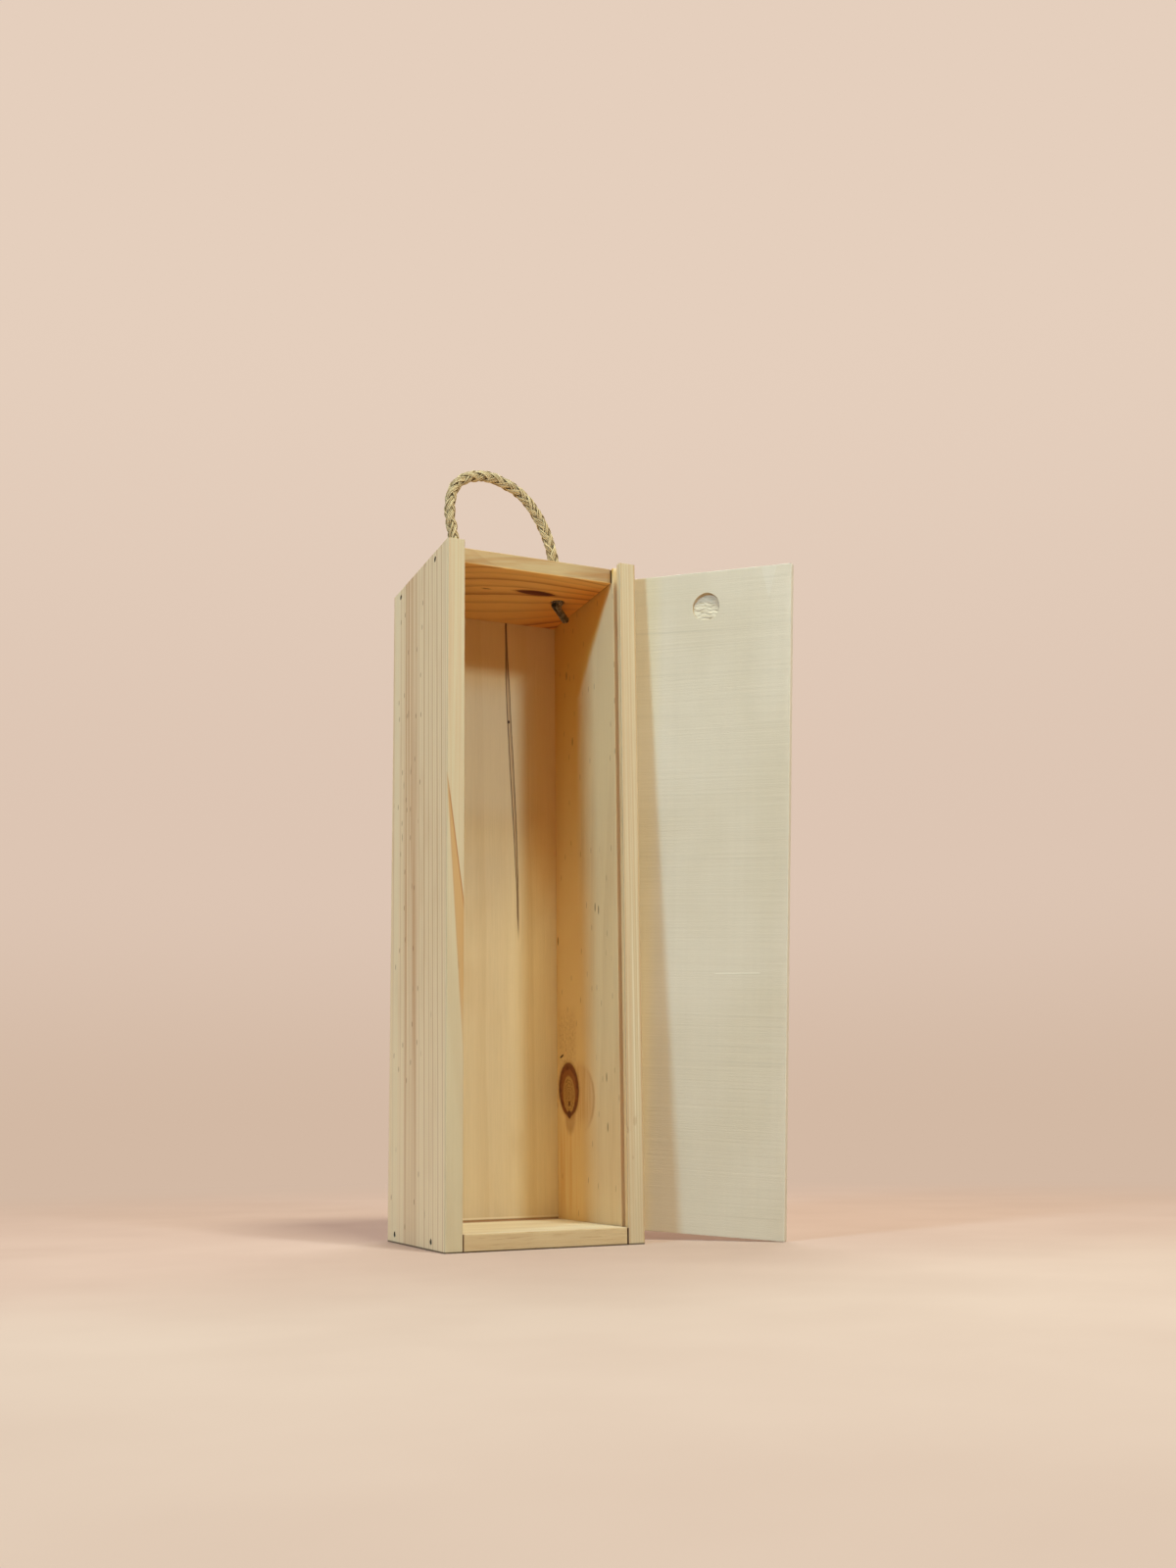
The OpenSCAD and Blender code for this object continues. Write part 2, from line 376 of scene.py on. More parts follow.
def outline(corners):
    """Closed outline with an arc of radius r at each corner (u, v, r), and points between at about
    POINT_STEP. Also whether each point is on an arc, and how far it may move inwards before an outer
    corner's arc folds over: a little less than its radius."""
    corners = np.array(corners, float)
    here = corners[:, :2]
    before, after = (side - here for side in beside(here))
    before /= np.linalg.norm(before, axis=1)[:, None]
    after /= np.linalg.norm(after, axis=1)[:, None]
    outer = (after[:, 0] * before[:, 1] - after[:, 1] * before[:, 0]) * winding(here) > 0
    limits = np.where(outer, corners[:, 2] * 0.97, 1.0)
    arcs = []
    for spot, one, two, r in zip(here, before, after, corners[:, 2]):
        half = math.acos(np.clip(one @ two, -1, 1)) / 2
        middle = (one + two) / np.linalg.norm(one + two)
        centre = spot + middle * r / math.sin(half)
        start = spot + one * r / math.tan(half) - centre
        end = spot + two * r / math.tan(half) - centre
        t = np.linspace(0, 1, ARC_STEPS + 1)[:, None]
        turn = math.pi - 2 * half
        arcs.append(centre + (np.sin((1 - t) * turn) * start + np.sin(t * turn) * end) / math.sin(turn))
    points, worn, room = [], [], []
    for arc, following, limit in zip(arcs, arcs[1:] + arcs[:1], limits):
        gap = np.linalg.norm(following[0] - arc[-1])
        near = min(ARRIS_SUPPORT / gap, 0.3)
        between = np.linspace(near, 1 - near, max(2, round(gap / POINT_STEP) + 1))
        t = np.concatenate([[near], between[1:-1], [1 - near]])
        points += [arc, arc[-1] + (following[0] - arc[-1]) * t[:, None]]
        worn += [np.ones(len(arc)), np.zeros(len(t))]
        room += [np.full(len(arc), limit), np.ones(len(t))]
    return np.concatenate(points), np.concatenate(worn), np.concatenate(room)


def wobble(count, cells, seed):
    """Smooth random values from 0 to 1 along a line of count points, with about cells bumps."""
    draws = np.random.default_rng(seed).random(cells + 3)
    t = np.linspace(0, cells, count)
    whole = np.minimum(t.astype(int), cells)
    share = t - whole
    share = share * share * (3 - 2 * share)
    return draws[whole] * (1 - share) + draws[whole + 1] * share


END_SUPPORT = 0.0003
BOARD_STEP = 0.0025
LONG_WAVES, SHORT_WAVES = 24, 90  # waves of wear along an arris


def board(name, corners, low, high, grain, material, ease, seed, wear=0.12 * MM, skew=None):
    """A board: the rounded outline carried along its grain from low to high. At each end the outline
    draws in along a quarter circle of radius ease, and along the arrises it is worn back by a wavering
    depth up to wear. The outline is (x, y) for a board along Z and (y, z) for one along X. skew(points)
    moves the finished points."""
    shape, worn, room = outline(corners)
    before, after = beside(shape)
    tangent = after - before
    normal = np.stack([tangent[:, 1], -tangent[:, 0]], 1) / np.linalg.norm(tangent, axis=1)[:, None]
    normal *= winding(shape)
    quarter = np.radians([0, 30, 60, 90])
    drawn = ease * (1 - np.sin(quarter))
    moved = ease * (1 - np.cos(quarter))
    count = max(3, round((high - low) / BOARD_STEP))
    middle = np.linspace(low + ease + END_SUPPORT, high - ease - END_SUPPORT, count)
    stations = np.concatenate([low + moved, middle, (high - moved)[::-1]])
    inset = np.concatenate([drawn, np.zeros(len(middle)), drawn[::-1]])
    edges = np.cumsum(np.diff(np.concatenate([[0], worn])) > 0)
    depth = np.zeros((len(stations), len(shape)))
    for edge in range(1, edges.max() + 1):
        wave = wobble(len(stations), LONG_WAVES, seed * 100 + edge)
        wave = wave * wobble(len(stations), SHORT_WAVES, seed * 57 + edge)
        depth += wave[:, None] * (worn * (edges == edge))[None, :]
    inwards = np.minimum(inset[:, None] + wear * depth, room[None])
    points = shape[None] - normal[None] * inwards[:, :, None]
    lengths = np.broadcast_to(stations[:, None, None], (*points.shape[:2], 1))
    solid = np.concatenate([points, lengths] if grain == "z" else [lengths, points], -1)
    if skew:
        solid = skew(solid.reshape(-1, 3)).reshape(solid.shape)
    rows, columns = points.shape[:2]
    caps = (np.arange(columns), np.arange(columns) + (rows - 1) * columns)
    return mesh_object(name, solid, grid_faces(rows, columns, True), material, caps)


def circle(sides):
    """Angles of a closed ring's points."""
    return np.arange(sides) / sides * FULL_TURN


def fan(sides, first, hub):
    """Triangles from a ring of points, which starts at first, to the point hub."""
    k = np.arange(sides)
    return np.stack([k + first, (k + 1) % sides + first, np.full(sides, hub)], 1).tolist()


def lathe(name, profile, sides, material, place):
    """A turned solid: profile (distance from the axis, height), closed on the axis, turned about Z and then
    placed."""
    profile = np.array(profile)
    a = circle(sides)
    ring = np.stack([np.cos(a), np.sin(a)], -1)
    body = profile[1:-1]
    heights = np.broadcast_to(body[:, None, 1:], (len(body), sides, 1))
    points = np.concatenate([body[:, None, :1] * ring[None], heights], -1).reshape(-1, 3)
    points = np.concatenate([points, [[0, 0, profile[0, 1]], [0, 0, profile[-1, 1]]]])
    count = len(body) * sides
    faces = grid_faces(len(body), sides, True).tolist()
    faces += fan(sides, 0, count) + fan(sides, count - sides, count + 1)
    piece = mesh_object(name, points, faces, material)
    piece.data.transform(place)
    return piece


def cut(piece, cutters):
    """Takes the cutters' shapes out of the piece."""
    tool = join("cutter", cutters)
    change = piece.modifiers.new("cut", "BOOLEAN")
    change.operation = "DIFFERENCE"
    change.solver = "EXACT"
    change.object = tool
    apply_modifiers(piece)
    bpy.data.objects.remove(tool)
    settle(piece)


def apply_modifiers(piece):
    bpy.context.view_layer.update()
    shaped = bpy.data.meshes.new_from_object(piece.evaluated_get(bpy.context.evaluated_depsgraph_get()))
    piece.modifiers.clear()
    piece.data = shaped


def press(piece, dents):
    """Moves the points that lie within radius of a place by up to push, most in its middle."""
    points = np.empty(len(piece.data.vertices) * 3)
    piece.data.vertices.foreach_get("co", points)
    points = points.reshape(-1, 3)
    for place, radius, push in dents:
        away = np.linalg.norm(points - np.array(place), axis=1) / radius
        points += np.clip(1 - away, 0, 1)[:, None] ** 1.5 * np.array(push)
    piece.data.vertices.foreach_set("co", points.ravel())
    piece.data.update()


def dress(piece, body, slot, *nodes):
    """The piece rides on the body and stands for the CAD nodes, which are hidden. slot is not used."""
    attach(piece, body)
    if nodes:
        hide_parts(*nodes)


# ---- rope handle ----

# The rope's arch in the plane Y = 0, in mm, as [x, height over the pivots], the same points as in the CAD
ROPE_ROUTE = [[-31.4, 8], [-33, 18], [-35, 30], [-34, 42], [-29, 50], [-20.5, 54], [-11.5, 54.5], [-2.5, 52],
              [4.5, 48.5], [10, 43.5], [15, 37], [19.5, 29], [22.5, 21], [24.5, 13], [26, 6]]
BAR_D, BAR_L, BAR_WALL, BAR_SEAM = 0.0042, 0.016, 0.0006, 0.0007
BAR_REACH, BAR_DROOP = 0.0042, 16
LEFT_BAR_TURN, RIGHT_BAR_TURN = 75, 45
BAR_DROP = BAR_D / 2 + ROPE_CLEAR + BAR_REACH * math.tan(math.radians(BAR_DROOP))
STATION, CURVE_STEPS = 0.0006, 40
STRAND_TURN, STRAND_OUT, STRAND_WEAVE = 0.030, 0.00208, 0.00056
YARN_W, YARN_T, YARN_SIDES = 0.00041, 0.00042, 8
YARN_SPREAD = (-0.48, -0.16, 0.16, 0.48)
YARN_SLACK, YARN_LIFT = 0.3, 0.0004
# DEEP_FROM and DEEP_OVER set where the braid's painted shade of depth begins and how fast it deepens
DEEP_FROM, DEEP_OVER = 0.0028, 0.0010  # distance from the rope's middle at which yarns start to look deep
CORE_R = 0.0016
HAIR_START, HAIR_R, HAIR_POINTS = 0.0024, 0.00005, 5
TAPER_END, TAPER_L = 0.62, 0.006
HAIRS = 260
JUTE_RELIEF = 0.0002


def unit(rows):
    """Rows of numbers made one long."""
    return rows / np.linalg.norm(rows, axis=1)[:, None]


def upright(line):
    """Points (x, z) of the plane Y = 0 as (x, 0, z)."""
    return np.stack([line[:, 0], np.zeros(len(line)), line[:, 1]], 1)


def inward(line):
    """Directions square to the line, in its plane."""
    tangent = unit(np.gradient(line, axis=0))
    return np.stack([-tangent[:, 1], np.zeros(len(line)), tangent[:, 0]], 1)


def lengths_along(points):
    """How far along a line each of its points lies."""
    return np.concatenate([[0], np.cumsum(np.linalg.norm(np.diff(points, axis=0), axis=1))])


def rope_line():
    """Points of the rope's middle line, STATION apart, from one bar up through its hole, over the arch and
    down. A smooth curve through the listed points, evened out by its length."""
    low = UNDERSIDE_Z - BAR_DROP
    leg = [low, UNDERSIDE_Z + 0.001, PIVOT_Z - 0.004, PIVOT_Z]
    left = [[LEFT_HOLE_X, h] for h in leg]
    right = [[RIGHT_HOLE_X, h] for h in leg[::-1]]
    arch = [[x * MM, PIVOT_Z + h * MM] for x, h in ROPE_ROUTE]
    p = np.array(left + arch + right)
    p = np.concatenate([p[:1], p, p[-1:]])
    t = np.linspace(0, 1, CURVE_STEPS, endpoint=False)[None, :, None]
    a, b, c, d = (p[i:len(p) - 3 + i, None, :] for i in range(4))
    bend, twist = 2 * a - 5 * b + 4 * c - d, 3 * b - a - 3 * c + d
    fine = (2 * b + (c - a) * t + bend * t ** 2 + twist * t ** 3) / 2
    fine = np.concatenate([fine.reshape(-1, 2), p[-1:]])
    length = lengths_along(fine)
    even = np.linspace(0, length[-1], round(length[-1] / STATION) + 1)
    return np.stack([np.interp(even, length, fine[:, i]) for i in (0, 1)], 1), even


def tube(centres, wide, high, side, out, sides=YARN_SIDES):
    """Points of a closed oval tube: rings of half width wide along side and half height high along out."""
    a = circle(sides)
    rings = (centres[:, None] + wide[:, None, None] * np.cos(a)[None, :, None] * side[:, None]
             + high[:, None, None] * np.sin(a)[None, :, None] * out[:, None])
    caps = (np.arange(sides), np.arange(sides) + (len(centres) - 1) * sides)
    return rings, grid_faces(len(centres), sides, True), caps


def yarn_lines(line, even, taper):
    """Middle lines of the braid's yarns, as (points, outward directions, tone). Four strands wind each
    way, four yarns to a strand. A strand turns once in STRAND_TURN, and its distance from the middle
    swings so that it passes over two others and then under two."""
    middle = upright(line)
    aside = inward(line)
    across = np.array([0.0, 1.0, 0.0])
    turn = FULL_TURN * even / STRAND_TURN
    draws = np.random.default_rng(11)
    for way in (1, -1):
        for strand in range(4):
            if way > 0:
                weave = np.cos(2 * turn - math.pi / 4 + math.pi * strand)
            else:
                weave = -np.cos(2 * turn + math.pi / 4 - math.pi * strand)
            for spread in YARN_SPREAD:
                slack = wobble(len(even), 24, int(draws.integers(1 << 20))) - 0.5
                angle = way * turn + strand * math.pi / 2 + spread + slack * YARN_SLACK
                lift = wobble(len(even), 40, int(draws.integers(1 << 20))) - 0.5
                far = (STRAND_OUT + STRAND_WEAVE * weave + YARN_LIFT * lift) * taper
                out = np.cos(angle)[:, None] * aside + np.sin(angle)[:, None] * across
                yield middle + far[:, None] * out, out, 0.35 + 0.65 * draws.random()


def tube_mesh(name, tubes, material):
    """One mesh of several tubes, with each yarn's tone, how deep its points lie in the braid, and a UV
    map: u round the yarn, v along it in metres, each yarn starting elsewhere."""
    points, faces, caps, tones, depths, around, along = [], [], [], [], [], [], []
    base = 0
    for rings, quads, ends, tone, deep in tubes:
        rows, sides = rings.shape[:2]
        points.append(rings.reshape(-1, 3))
        faces.append(quads + base)
        caps += [(end + base).tolist() for end in ends]
        tones.append(np.full(rows * sides, tone))
        depths.append(np.broadcast_to(deep, (rows, sides)).ravel())
        run = lengths_along(rings.mean(1)) + tone * 0.7
        around.append(np.tile(np.abs(np.linspace(-1, 1, sides, endpoint=False)), rows))
        along.append(np.repeat(run, sides))
        base += rows * sides
    piece = mesh_object(name, np.concatenate(points), np.concatenate(faces), material, caps)
    mesh = piece.data
    for label, values in (("tone", tones), ("deep", depths)):
        data = mesh.attributes.new(label, "FLOAT", "POINT").data
        data.foreach_set("value", np.concatenate(values).astype(np.float32))
    corner = np.empty(len(mesh.loops), int)
    mesh.loops.foreach_get("vertex_index", corner)
    uv = np.stack([np.concatenate(around), np.concatenate(along)], 1)[corner]
    mesh.uv_layers.new(name="yarn").data.foreach_set("uv", uv.ravel().astype(np.float32))
    return piece


def stray_fibres(line, count, seed):
    """Short hairs that leave the braid: each starts on the rope's surface and drifts outwards along a
    shallow curve."""
    draws = np.random.default_rng(seed)
    tangent = unit(np.gradient(line, axis=0))
    for _ in range(count):
        i = draws.integers(12, len(line) - 24)
        angle = draws.random() * FULL_TURN
        ahead = np.array([tangent[i, 0], 0, tangent[i, 1]]) * draws.choice([-1, 1])
        aside = np.array([-tangent[i, 1], 0, tangent[i, 0]])
        out = math.cos(angle) * aside + math.sin(angle) * np.array([0, 1, 0])
        side = np.cross(ahead, out)
        length = draws.uniform(0.0015, 0.0045)
        t = np.linspace(0, 1, HAIR_POINTS)
        start = np.array([line[i, 0], 0, line[i, 1]]) + out * HAIR_START
        curl = draws.uniform(-0.4, 0.4)
        rise = t ** 1.6 * length * draws.uniform(0.1, 0.35)
        sideways = np.outer(t ** 2 * length * curl, side)
        centres = start + np.outer(t * length, ahead) + np.outer(rise, out) + sideways
        thin = HAIR_R * (1.1 - t)
        ends = np.tile(side, (HAIR_POINTS, 1)), np.tile(out, (HAIR_POINTS, 1))
        yield *tube(centres, thin, thin, *ends, 3), 0.9, 0.0


def rope_part(name, line, even, taper, material, hairs, seed):
    """A stretch of the braid: its yarns, a plain core that fills the middle, and stray hairs. A point's
    depth goes from 0 on the rope's outside to 1 at its core."""
    tubes = []
    middle = upright(line)
    for centres, out, tone in yarn_lines(line, even, taper):
        side = unit(np.cross(np.gradient(centres, axis=0), out))
        size = taper * (0.9 + 0.2 * tone)
        rings, quads, ends = tube(centres, YARN_W * size, YARN_T * size, side, out)
        away = np.linalg.norm(rings - middle[:, None], axis=2) / taper[:, None]
        tubes.append((rings, quads, ends, tone, np.clip((DEEP_FROM - away) / DEEP_OVER, 0, 1)))
    side = np.tile([0.0, 1.0, 0.0], (len(line), 1))
    core = CORE_R * taper
    # the core lies deepest, so the painted shade of depth darkens it
    tubes.append((*tube(middle, core, core, side, inward(line), 10), 0.05, 1.0))
    tubes += stray_fibres(line, hairs, seed)
    return tube_mesh(name, tubes, material)


def rope_material():
    """Jute: straw-coloured yarns of different tones, with painted shade along each yarn's sides and deep in
    the braid, and fine fibres along each yarn. Painted shade darkens the rope's ends under the top board."""
    f = Finish("jute", "#A58858")
    around, along, _ = f.parts(f.node("ShaderNodeUVMap", {"uv_map": "yarn"}))
    along = along * MM_PER_M
    tone = f.node("ShaderNodeAttribute", {"attribute_name": "tone"}, output=2)
    deep = f.node("ShaderNodeAttribute", {"attribute_name": "deep"}, output=2)
    fibre = f.noise(around * 3.2 + along * 0.5, tone * 40, along * 0.3, 3, 0.65)
    bundle = f.noise(around * 1.2, tone * 17, along * 0.2, 2)
    f.tint("#DAC69A", tone)
    f.tint("#927444", f.step(bundle, -0.02, 0.22) * 0.5)
    f.tint("#F4E8C8", f.step(fibre, 0.03, 0.2) * 0.5)
    f.tint("#6A4F2A", f.step(fibre, -0.03, -0.22) * 0.6)
    # painted shade along each yarn's sides, between the yarns
    f.tint("#5E4524", f.step(abs(around - 0.5), 0.16, 0.42) * 0.8)
    # painted shade deep in the braid
    f.tint("#58401F", f.step(deep, 0.2, 0.9) * 0.75)
    # painted shade on the rope's ends under the top board, in the holes
    f.tint("#4A3A22", f.step(f.place()[2], 343.5, 341.5) * 0.6)
    f.relief(fibre + 0.5, JUTE_RELIEF)
    return f.finish(0.72 + fibre * 0.2, 0.35)


def make_rope():
    line, even = rope_line()
    jute = rope_material()
    from_end = np.minimum(even, even[-1] - even)
    taper = np.clip(TAPER_END + from_end / TAPER_L, TAPER_END, 1.0)
    above = np.flatnonzero(line[:, 1] >= BOX_H - 1e-9)
    first, last = above[0], above[-1]
    over = slice(first, last + 1)
    arch = rope_part("rope_handle", line[over], even[over], taper[over], jute, HAIRS, 3)
    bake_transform(arch)
    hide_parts("rope_arch")
    path = [(float(x), 0.0, float(z)) for x, z in line[first:last + 1:4]]
    path.append((float(line[last, 0]), 0.0, float(line[last, 1])))
    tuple(path[0])
    ends = []
    for name, part in (("left", slice(0, first + 1)), ("right", slice(last, len(line)))):
        ends.append(rope_part("rope_end_" + name, line[part], even[part], taper[part], jute, 0, 5))
    for end in ends:
        dress(end, "box", "jute_rope", "rope_ends")
    return jute


def bar_place(side):
    """Where a bar stands: its raised end near the hole's axis, turned and drooping as in the CAD model."""
    hole, turn = (RIGHT_HOLE_X, RIGHT_BAR_TURN) if side > 0 else (LEFT_HOLE_X, LEFT_BAR_TURN)
    mirror = Matrix.Diagonal((side, 1, 1, 1))
    return (Matrix.Translation((hole, 0, UNDERSIDE_Z)) @ mirror @ Matrix.Rotation(math.radians(turn), 4, "Z")
            @ Matrix.Translation((-BAR_REACH, 0, -BAR_D / 2 - ROPE_CLEAR))
            @ Matrix.Rotation(math.radians(90 + BAR_DROOP), 4, "Y"))


BAR_RIM, BAR_ROWS = 0.0006, 56
SEAM_CURL = 0.00018
SQUEEZES, SQUEEZE_L, SQUEEZE_DEPTH = (0.0058, 0.0102), 0.0011, 0.00022
FIBRE_OUT, FIBRE_R, FIBRE_ROWS = 0.00094, 0.00046, 24


def make_bars(jute):
    """Rolled sleeves: a sheet bent into a tube with an open seam below, curled in along the seam and
    squeezed twice in the middle, where it grips the rope; the rope's fibres fill its open ends."""
    steel = bar_material()
    rim = np.array([0, 0.0001, 0.00025])
    v = np.concatenate([rim, np.linspace(BAR_RIM, BAR_L - BAR_RIM, BAR_ROWS), BAR_L - rim[::-1]])
    rounded = np.array([0.00016, 0.00005, 0])
    lip = np.concatenate([rounded, np.zeros(BAR_ROWS), rounded[::-1]])
    gap = math.asin(BAR_SEAM / BAR_D)
    a = np.linspace(gap, FULL_TURN - gap, 40)
    curl = SEAM_CURL * (np.exp(-(a - gap) / 0.25) + np.exp(-(FULL_TURN - gap - a) / 0.25))
    squeeze = sum(np.exp(-((v - place) / SQUEEZE_L) ** 2) for place in SQUEEZES)
    flat = SQUEEZE_DEPTH * squeeze[:, None] * (1 + np.cos(2 * a))[None, :]
    outer = BAR_D / 2 - curl[None, :] - lip[:, None] - flat
    inner = outer - BAR_WALL + 2 * lip[:, None]
    radius = np.concatenate([outer, inner[:, ::-1]], 1)
    angle = np.concatenate([a, a[::-1]])
    heights = np.broadcast_to(v[:, None], radius.shape)
    ring = np.stack([radius * np.cos(angle), radius * np.sin(angle), heights], -1)
    columns = radius.shape[1]
    k = np.arange(len(a) - 1)
    end = np.stack([k, k + 1, columns - 2 - k, columns - 1 - k], 1)
    faces = np.concatenate([grid_faces(len(v), columns, True), end, end + (len(v) - 1) * columns])
    bars, tufts = [], []
    for side in (1, -1):
        bar = mesh_object("bar", ring, faces, steel)
        bar.data.transform(bar_place(side))
        bars.append(bar)
        spots = [(0, 0)] + [(FIBRE_OUT * math.cos(t), FIBRE_OUT * math.sin(t)) for t in circle(6)]
        tubes = []
        for i, (p, q) in enumerate(spots):
            w = np.linspace(0.0016 + 0.0003 * (i % 3), BAR_L - 0.0014 - 0.0004 * (i % 2), FIBRE_ROWS)
            pinch = 1 - 0.25 * np.exp(-((w - BAR_L / 2) / 0.004) ** 2)
            centres = np.stack([p * pinch, q * pinch, w], 1)
            size = FIBRE_R * pinch
            size[[0, -1]] *= 0.6
            along, across = (np.tile(way, (FIBRE_ROWS, 1)) for way in ([1.0, 0, 0], [0, 1.0, 0]))
            tubes.append((*tube(centres, size, size, along, across), 0.3 + 0.1 * i, 0.5))
        tuft = tube_mesh("tuft", tubes, jute)
        tuft.data.transform(bar_place(side))
        tufts.append(tuft)
    for piece in bars + tufts:
        settle(piece, 50)
    bars[0].name, bars[1].name = "bar_right", "bar_left"
    tufts[0].name, tufts[1].name = "bar_fibres_right", "bar_fibres_left"
    for piece in bars:
        dress(piece, "box", "bar_steel", "rope_end_bars")
    for piece in tufts:
        dress(piece, "box", "jute_rope")


def bar_material():
    """Dull rolled sheet: grey steel with a warm film, rubbed brighter in places."""
    f = Finish("dull_steel", "#6A6250")
    x, y, z = f.place()
    cloud = f.noise(x / 2.5, y / 2.5, z / 2.5, 3)
    fine = f.noise(x * 3, y * 3, z * 3, 3, 0.65)
    f.tint("#A39C88", f.step(cloud, -0.15, 0.2))
    f.darken(f.step(fine, 0.0, 0.25) * 0.3)
    f.feed(f.shader.inputs["Metallic"], 0.85)
    f.relief(fine + cloud * 0.5 + 0.7, 0.00008)
    return f.finish(0.42 + cloud * 0.3 + fine * 0.15, 0.5)


# ---- brads ----

BRAD_L, BRAD_HEAD_D, BRAD_D = 0.020, 0.0019, 0.0012
BRAD_SINK = 0.0005
SIDE_BRAD_Y = (FRONT_Y + 0.0215, BACK_Y - 0.014)
END_BOARD_Z = (BOTTOM_T / 2, BOX_H - TOP_T / 2)


def side_brad_places(side):
    """Frames of the brads through one side board, with +Z out of the wood."""
    turn = Matrix.Rotation(math.radians(90 * side), 4, "Y")
    return [Matrix.Translation((side * OUTER_X, y, z)) @ turn for y in SIDE_BRAD_Y for z in END_BOARD_Z]


def back_brad_places():
    """Frames of the brads that hold the back panel, with +Z out of the wood."""
    turn = Matrix.Rotation(math.radians(-90), 4, "X")
    edge = INNER_X + REBATE_DEPTH / 2
    spots = [(x * 0.018, z) for x in (-1, 1) for z in END_BOARD_Z]
    spots += [(x * edge, BOX_H / 2 + z * 0.090) for x in (-1, 1) for z in (-1, 1)]
    return [Matrix.Translation((x, BACK_Y, z)) @ turn for x, z in spots]


def brads(name, places, node, steel):
    """Brads with a slightly domed head, driven a little under the surface."""
    r, h = BRAD_D / 2, BRAD_HEAD_D / 2
    top = -BRAD_SINK
    profile = [(0, top), (h * 0.55, top - 0.00004), (h * 0.9, top - 0.00012), (h, top - 0.00025),
               (h * 0.96, top - 0.00045), (r, top - 0.0006), (r, -BRAD_L + 0.0016),
               (r * 0.4, -BRAD_L + 0.0004), (0, -BRAD_L)]
    made = [lathe(name, profile, 20, steel, place) for place in places]
    piece = join(name, made)
    dress(piece, "box", "brad_steel", node)


def brad_seats(places, material, seed):
    """Cutters for the dents over the brads' heads, a little longer along the grain, like torn fibres."""
    draws = np.random.default_rng(seed)
    floor = -BRAD_SINK - 0.0001
    profile = [(0, 0.001), (0.00115, 0.001), (0.00112, 0), (0.00098, -0.0003), (0.00097, floor), (0, floor)]
    made = []
    for place in places:
        long, short = (1.05, 1.5), (0.95, 1.15)
        stretch = Matrix.Diagonal((draws.uniform(*long), draws.uniform(*short), 1, 1))
        if abs((place.to_3x3() @ Vector((1, 0, 0))).z) < 0.5:
            stretch = Matrix.Diagonal((draws.uniform(*short), draws.uniform(*long), 1, 1))
        made.append(lathe("seat", profile, 22, material, place @ stretch))
    return made


def brad_material():
    """Blackened wire with a brown bloom of rust."""
    f = Finish("brad_wire", "#17130F")
    x, y, z = f.place()
    bloom = f.noise(x * 1.7, y * 1.7, z * 1.7, 3)
    f.tint("#2E2015", f.step(bloom, -0.1, 0.15))
    f.feed(f.shader.inputs["Metallic"], 0.3)
    f.relief(bloom + 0.5, 0.00006)
    return f.finish(0.7 + bloom * 0.3, 0.2)


# ---- side boards ----

def side_corners(side):
    """The side board's outline seen from above, with its lid groove and rebate, and each corner's radius."""
    corner = [
        (INNER_X, FRONT_Y, 0.35), (OUTER_X, FRONT_Y, 0.9), (OUTER_X, BACK_Y, 1.1),
        (INNER_X + REBATE_DEPTH, BACK_Y, 0.25), (INNER_X + REBATE_DEPTH, PANEL_Y, 0.1),
        (INNER_X, PANEL_Y, 0.22),
        (INNER_X, GROOVE_BACK_Y, 0.25), (INNER_X + GROOVE_DEPTH, GROOVE_BACK_Y, 0.2),
        (INNER_X + GROOVE_DEPTH, GROOVE_FRONT_Y, 0.2), (INNER_X, GROOVE_FRONT_Y, 0.25)]
    return [(side * x, y, r * MM) for x, y, r in corner][::side]


# The second colour is painted shade in the joints between the boards; STAIN is the dark torn wood round the
# brads.
STAIN, PAINTED_JOINT_SHADE = "#1D150D", "#5A3218"

# Latewood lines across the left board's outer face, as (Y in mm, half width, strength)
LEFT_LINES = (
    (-12.2, 0.35, 0.85), (-7.6, 0.1, 0.25), (-3.2, 0.3, 0.45), (-16.2, 0.1, 0.2), (-19.9, 0.3, 0.55),
    (-23.2, 0.1, 0.2), (-26.2, 0.35, 0.62), (-30.4, 0.1, 0.2), (-34.2, 0.35, 0.65), (-38.0, 0.1, 0.2),
    (-41.5, 0.35, 0.65), (-45.0, 0.1, 0.25), (-47.6, 0.2, 0.4), (30.5, 0.3, 0.4), (44.2, 0.4, 0.4))


def left_rings(f, x, y, z):
    """A broad band of latewood behind the middle, with its own soft streaks, and thin lines in front of
    it."""
    place = y - (z - 190) * 0.024 - (x + 51.5) * 0.175 + sway(f, x, y, z, 1.7) * 1.6
    streaks = f.noise(place * 0.42, 0.0, z / 260, 2, 0.6)
    broad = f.band(place, 12, 9, 6) * (0.4 + streaks * 2.4)
    return broad + lines(f, place, LEFT_LINES, 0.7) * 0.85


def brad_stains(f, y, z):
    """1 on the dark torn wood round each of a side board's four brads, fading out of a wavering outline."""
    across, up = (abs(place - (low + high) * MM_PER_M / 2) - (high - low) * MM_PER_M / 2
                  for place, (low, high) in ((y, SIDE_BRAD_Y), (z, END_BOARD_Z)))
    far = f.away(across * 0.837, up) + f.noise(y * 0.9, z * 0.7, 0.0, 2) * 1.3
    return f.step(far, 1.7, 1.1)


def front_face(f, y):
    """1 on the faces that look out of the open front."""
    return f.step(y, -48.0, -48.6)


def floor_line(f, z):
    """Dust and shade along the edge that stands on the floor."""
    f.tint("#3A2818", f.step(z, 1.0, 0.5) * 0.85)


